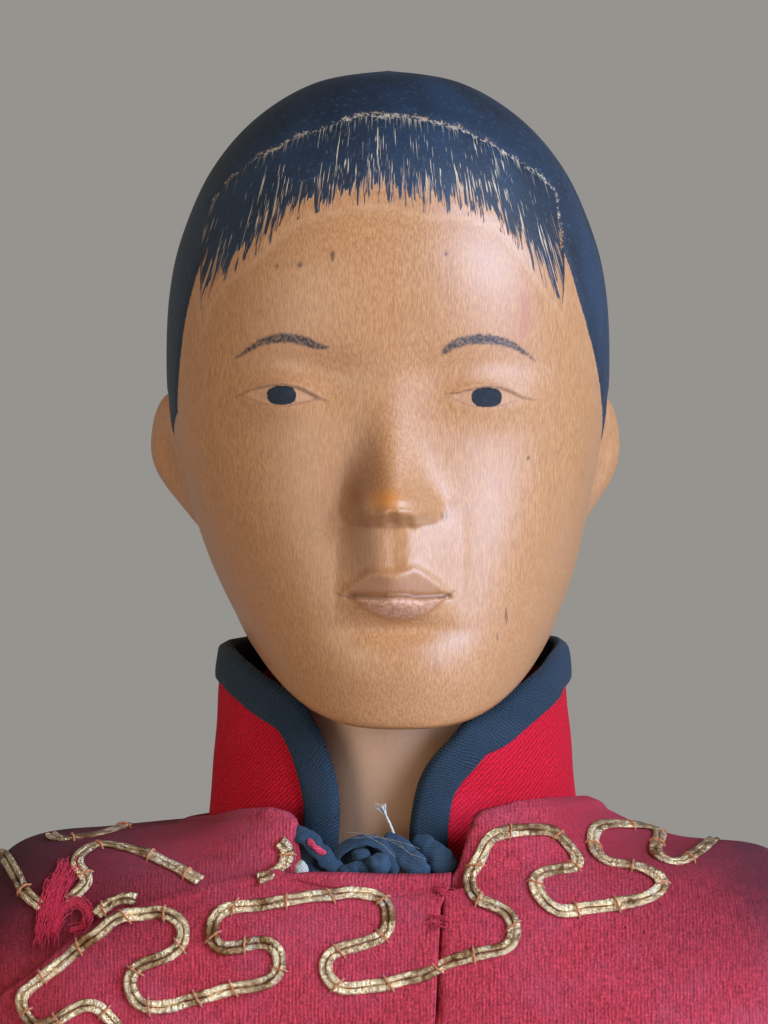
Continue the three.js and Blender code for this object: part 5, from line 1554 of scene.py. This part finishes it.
stuffing = np.concatenate([bodyLevels[:1], bodyTable(136.4, 232.2, 0, 90),
                           [[232.25, 7.75, 7.75], [229, 7.75, 7.75], [226.2, 7.75, 7.75], [226.2, 0, 0]]])
stuffedBody, stuffedUv = bodyShape(stuffing)
addPiece("stuffed_body", surface(stuffedBody, False, True, stuffedUv), bodyCotton, "torso",
                   ["torso"])
neckTie = {"start": 229.6, "pitch": 0.5, "radius": 8.75, "thread": 0.3, "turns": 3}
t = fullTurn(10)[:, None]
v = fullTurn(72)
ring = neckTie["radius"] + neckTie["thread"] * np.cos(t)
wraps = []
for k in range(neckTie["turns"]):
    threadUp = neckTie["start"] + neckTie["pitch"] * k + neckTie["thread"] * np.sin(t)
    points = spread(ring * np.sin(v), -ring * np.cos(v), threadUp)
    wraps.append(surface(points, True, True, aroundUv(v, 8.7, t / 6.3), flip=True))
addPiece("neck_binding", wraps, bindingThread, "torso", ["neck_tie"])
underTable = np.concatenate([bodyTable(150.6, 227.5, 1.2, 70), [[228.4, 13.6, 13.6], [229.1, 13.9, 13.4]]])
underShape, underUv = bodyShape(underTable)
addPiece("under_jacket_cloth", clothShell(underShape, 0.8, True, underUv), scarletTwill, "torso",
         ["under_jacket"])
seatTable = np.concatenate([[[135.0, 0, 0], [135.0, 12, 7]], bodyTable(136.4, 150.3, 1.3, 24) - (1.2, 0, 0)])
seatShape, seatUv = bodyShape(seatTable)
indigo = twill("trouser_cotton", colour(58, 74, 104), colour(24, 32, 52), colour(84, 100, 128), 0.42,
               np.radians(60), depth=0.5, faded=0.12)
addPiece("trouser_seat_cloth", clothShell(seatShape[2:], 0.9, True, seatUv[2:]), indigo, "torso",
         ["trouser_seat"])

# Legs, trousers and shoes, made for the doll's left and mirrored
leg = {"spread": 15.0, "cloth": 1.0, "fork": 124, "clear": 0.3, "blend": (0.134, 0.112)}
# radius and height
trouserProfile = [[14.3, 21], [14.0, 30], [13.4, 60], [12.8, 92], [12.7, 108], [12.7, 122], [13.2, 130],
                  [13.0, 138]]
stockingProfile = [[0, 5.7], [6.2, 5.7], [6.4, 10], [6.4, 19], [7.4, 30], [8.8, 43], [10.2, 65], [11.2, 92],
                   [11.2, 112], [11.0, 124], [8.0, 131], [0, 133.2]]


def turnedShape(profile, atX, columns=72, steps=80, folds=None):
    # a profile of radius and height turned about an upright line, each radius pushed by folds
    profile = np.asarray(profile, float)
    rows = smoothRows(profile, np.linspace(0, len(profile) - 1, steps))
    v = fullTurn(columns)
    radius = np.broadcast_to(np.maximum(rows[:, :1], 0), (steps, columns))
    if folds is not None:
        radius = radius + folds(v, rows[:, 1:])
    points = spread(atX + radius * np.sin(v), -radius * np.cos(v), rows[:, 1:])
    return points, aroundUv(v, profile[:, 0].max(), rows[:, 1:])


def trouserFolds(v, z):
    # upright folds, slow dents, slanting creases at the knee and soft rings above the hem;
    # the side next to the other leg stays plainer
    wave = (0.55 * softNoise(np.sin(v) * 12, np.cos(v) * 12 + z * 0.1, 7, 41)
            + 0.25 * softNoise(np.cos(v) * 10, z, 14, 42))
    wave += (0.5 * softNoise(np.sin(v) * 8 + z * 0.4, z - np.cos(v) * 8, 6, 44)
             * np.exp(-0.5 * ((z - 76) / 14) ** 2))
    wave += (0.45 * np.sin(z * 0.62 + 1.8 * np.sin(v + 0.7)) * between(21, 27, 36, 50, z)
             * (0.5 + 0.5 * np.cos(v - 0.5)))
    return wave * smoothStep(128, 108, z) * (1 - 0.8 * smoothStep(0.2, 0.8, -np.sin(v)))


trouserShape, trouserUv = turnedShape(trouserProfile, leg["spread"], 84, 120, trouserFolds)
# above the fork the two legs stay clear of the middle
least = np.where(trouserShape[..., 2] > leg["fork"], leg["clear"], -np.inf)
trouserShape[..., 0] = np.maximum(trouserShape[..., 0], least)
trouserLeg = clothShell(trouserShape, leg["cloth"], True, trouserUv)
stockingShape, stockingUv = turnedShape(stockingProfile, leg["spread"], 60, 90)
stocking = surface(stockingShape, False, True, stockingUv)


def shoeRings(rows, columns, square):
    # level rounded rings from rows of half width, reach to the toe, reach to the heel and height
    table = np.asarray(rows, float)
    z = table[:, 3]
    return levelSurface(np.stack([table[:, 0], table[:, 1], table[:, 2], z, z, z, z * 0], 1),
                        fullTurn(columns), square, 2)


def shoeParts():
    # outside up to the opening and inside down to the insole, with a rolled edge
    base = 3.3         # on top of the sole
    outside = [[7.4, 20.9, 11.9, 0], [7.7, 21.0, 12.1, 1.4], [7.75, 20.8, 12.15, 2.8], [7.7, 19.6, 12.0, 4.6],
               [7.6, 17.2, 11.8, 6.2], [7.6, 13.4, 11.5, 7.4], [7.65, 10.2, 11.2, 8.8],
               [7.7, 8.7, 10.4, 10.4], [7.7, 8.0, 9.4, 12.0]]
    inside = [[7.2, 7.4, 8.7, 12.0], [6.8, 6.9, 7.4, 9.0], [6.75, 6.75, 6.8, 5.0], [6.7, 6.7, 6.7, 2.1],
              [0, 0, 0, 2.05]]
    fine = smoothRows(outside, np.linspace(0, len(outside) - 1, 46))
    rows = np.concatenate([[[0, 0, 0, 0]], fine, [[7.5, 7.8, 9.15, 12.4]], inside]) + (0, 0, 0, base)
    points = shoeRings(rows, 96, 2.3)
    v = fullTurn(96)
    front = np.exp(-(np.where(v > np.pi, v - 2 * np.pi, v) / 0.09) ** 2)
    # a sewn ridge down the front of the outside
    ridge = (0.45 * front * between(base + 0.5, base + 3, base + 10.5, base + 12, points[..., 2])
             * (np.arange(len(rows)) < len(fine) + 2)[:, None])
    points[..., 2] += ridge
    points[..., 1] -= ridge * 0.5
    points[..., 0] += leg["spread"]
    upper = surface(points, False, True, aroundUv(v, 12, rows[:, 3:]))
    t = fullTurn(10)
    roll = 0.35 * np.cos(t)
    edge = np.stack([7.75 + roll, 8.1 + roll, 9.45 + roll, base + 12 + 0.4 * np.sin(t)], 1)
    ring = shoeRings(edge, 96, 2.3)
    ring[..., 0] += leg["spread"]
    return [upper, surface(ring, True, True, flip=True)]


def solePart():
    # pressed layers of cloth: the edge swells and draws in at each of five layers
    thick, layers = 3.0, 5
    z = np.linspace(0, thick, 41)
    swell = 0.22 * np.abs(np.sin(z / thick * np.pi * layers)) ** 0.7 - 0.35 * (1 - smoothStep(0, 0.25, z))
    rows = np.concatenate([[[0, 0, 0, 0]], np.stack([7.75 + swell, 21.2 + swell, 12.2 + swell, z], 1),
                           [[0, 0, 0, thick]]])
    points = shoeRings(rows, 110, 2.4)
    points[..., 0] += leg["spread"]
    return surface(points, False, True, aroundUv(np.linspace(0, 90, 110), 1, rows[:, 3:]))


def soleFinish():
    # whitened cloth layers, greyed on the tread, with rows of stitch pits in the edge
    f = Finish("sole_cloth", 0.92)
    u, v = f.cloth()
    layer = f.calc("SINE", v * (2 * np.pi / 0.6)) * 0.5 + 0.5
    pit = f.calc("SINE", u * (2 * np.pi / 1.4)) * layer
    grime = f.noise(f.place((160, 160, 160)), detail=5, rough=0.65)
    base = f.mix(grime, colour(150, 138, 116), colour(224, 214, 194))
    base = f.mix(f.step(pit, 0.5, 0.9) * 0.55, base, colour(98, 84, 64))
    return f.link(Base_Color=base, Normal=f.bump(grime + layer, 0.5, 0.0002))


blackSatin = twill("shoe_cloth", colour(42, 42, 46), colour(12, 12, 14), colour(64, 60, 58), 0.24,
                   np.radians(75), roughness=0.6, depth=0.4)
soleCloth = soleFinish()
shoe, sole = shoeParts(), solePart()
for side in ("left", "right"):
    sign = np.sign(jointAt[side + "_hip"][0])
    body = side + "_leg"
    start, end = [(sign * leg["spread"] * mm, middleY * mm, height) for height in leg["blend"]]
    addPiece(side + "_trouser_cloth", forSide(trouserLeg, sign), indigo, body,
             [side + "_trouser_leg"], ("torso", body, start, end))
    addPiece(side + "_stuffed_leg", forSide(stocking, sign), bodyCotton, body,
                       [side + "_leg"])
    addPiece(side + "_shoe_cloth", [forSide(p, sign) for p in shoe], blackSatin, body,
             [side + "_shoe_upper"])
    addPiece(side + "_layered_sole", forSide(sole, sign), soleCloth, body,
             [side + "_shoe_sole"])
print("legs dressed")
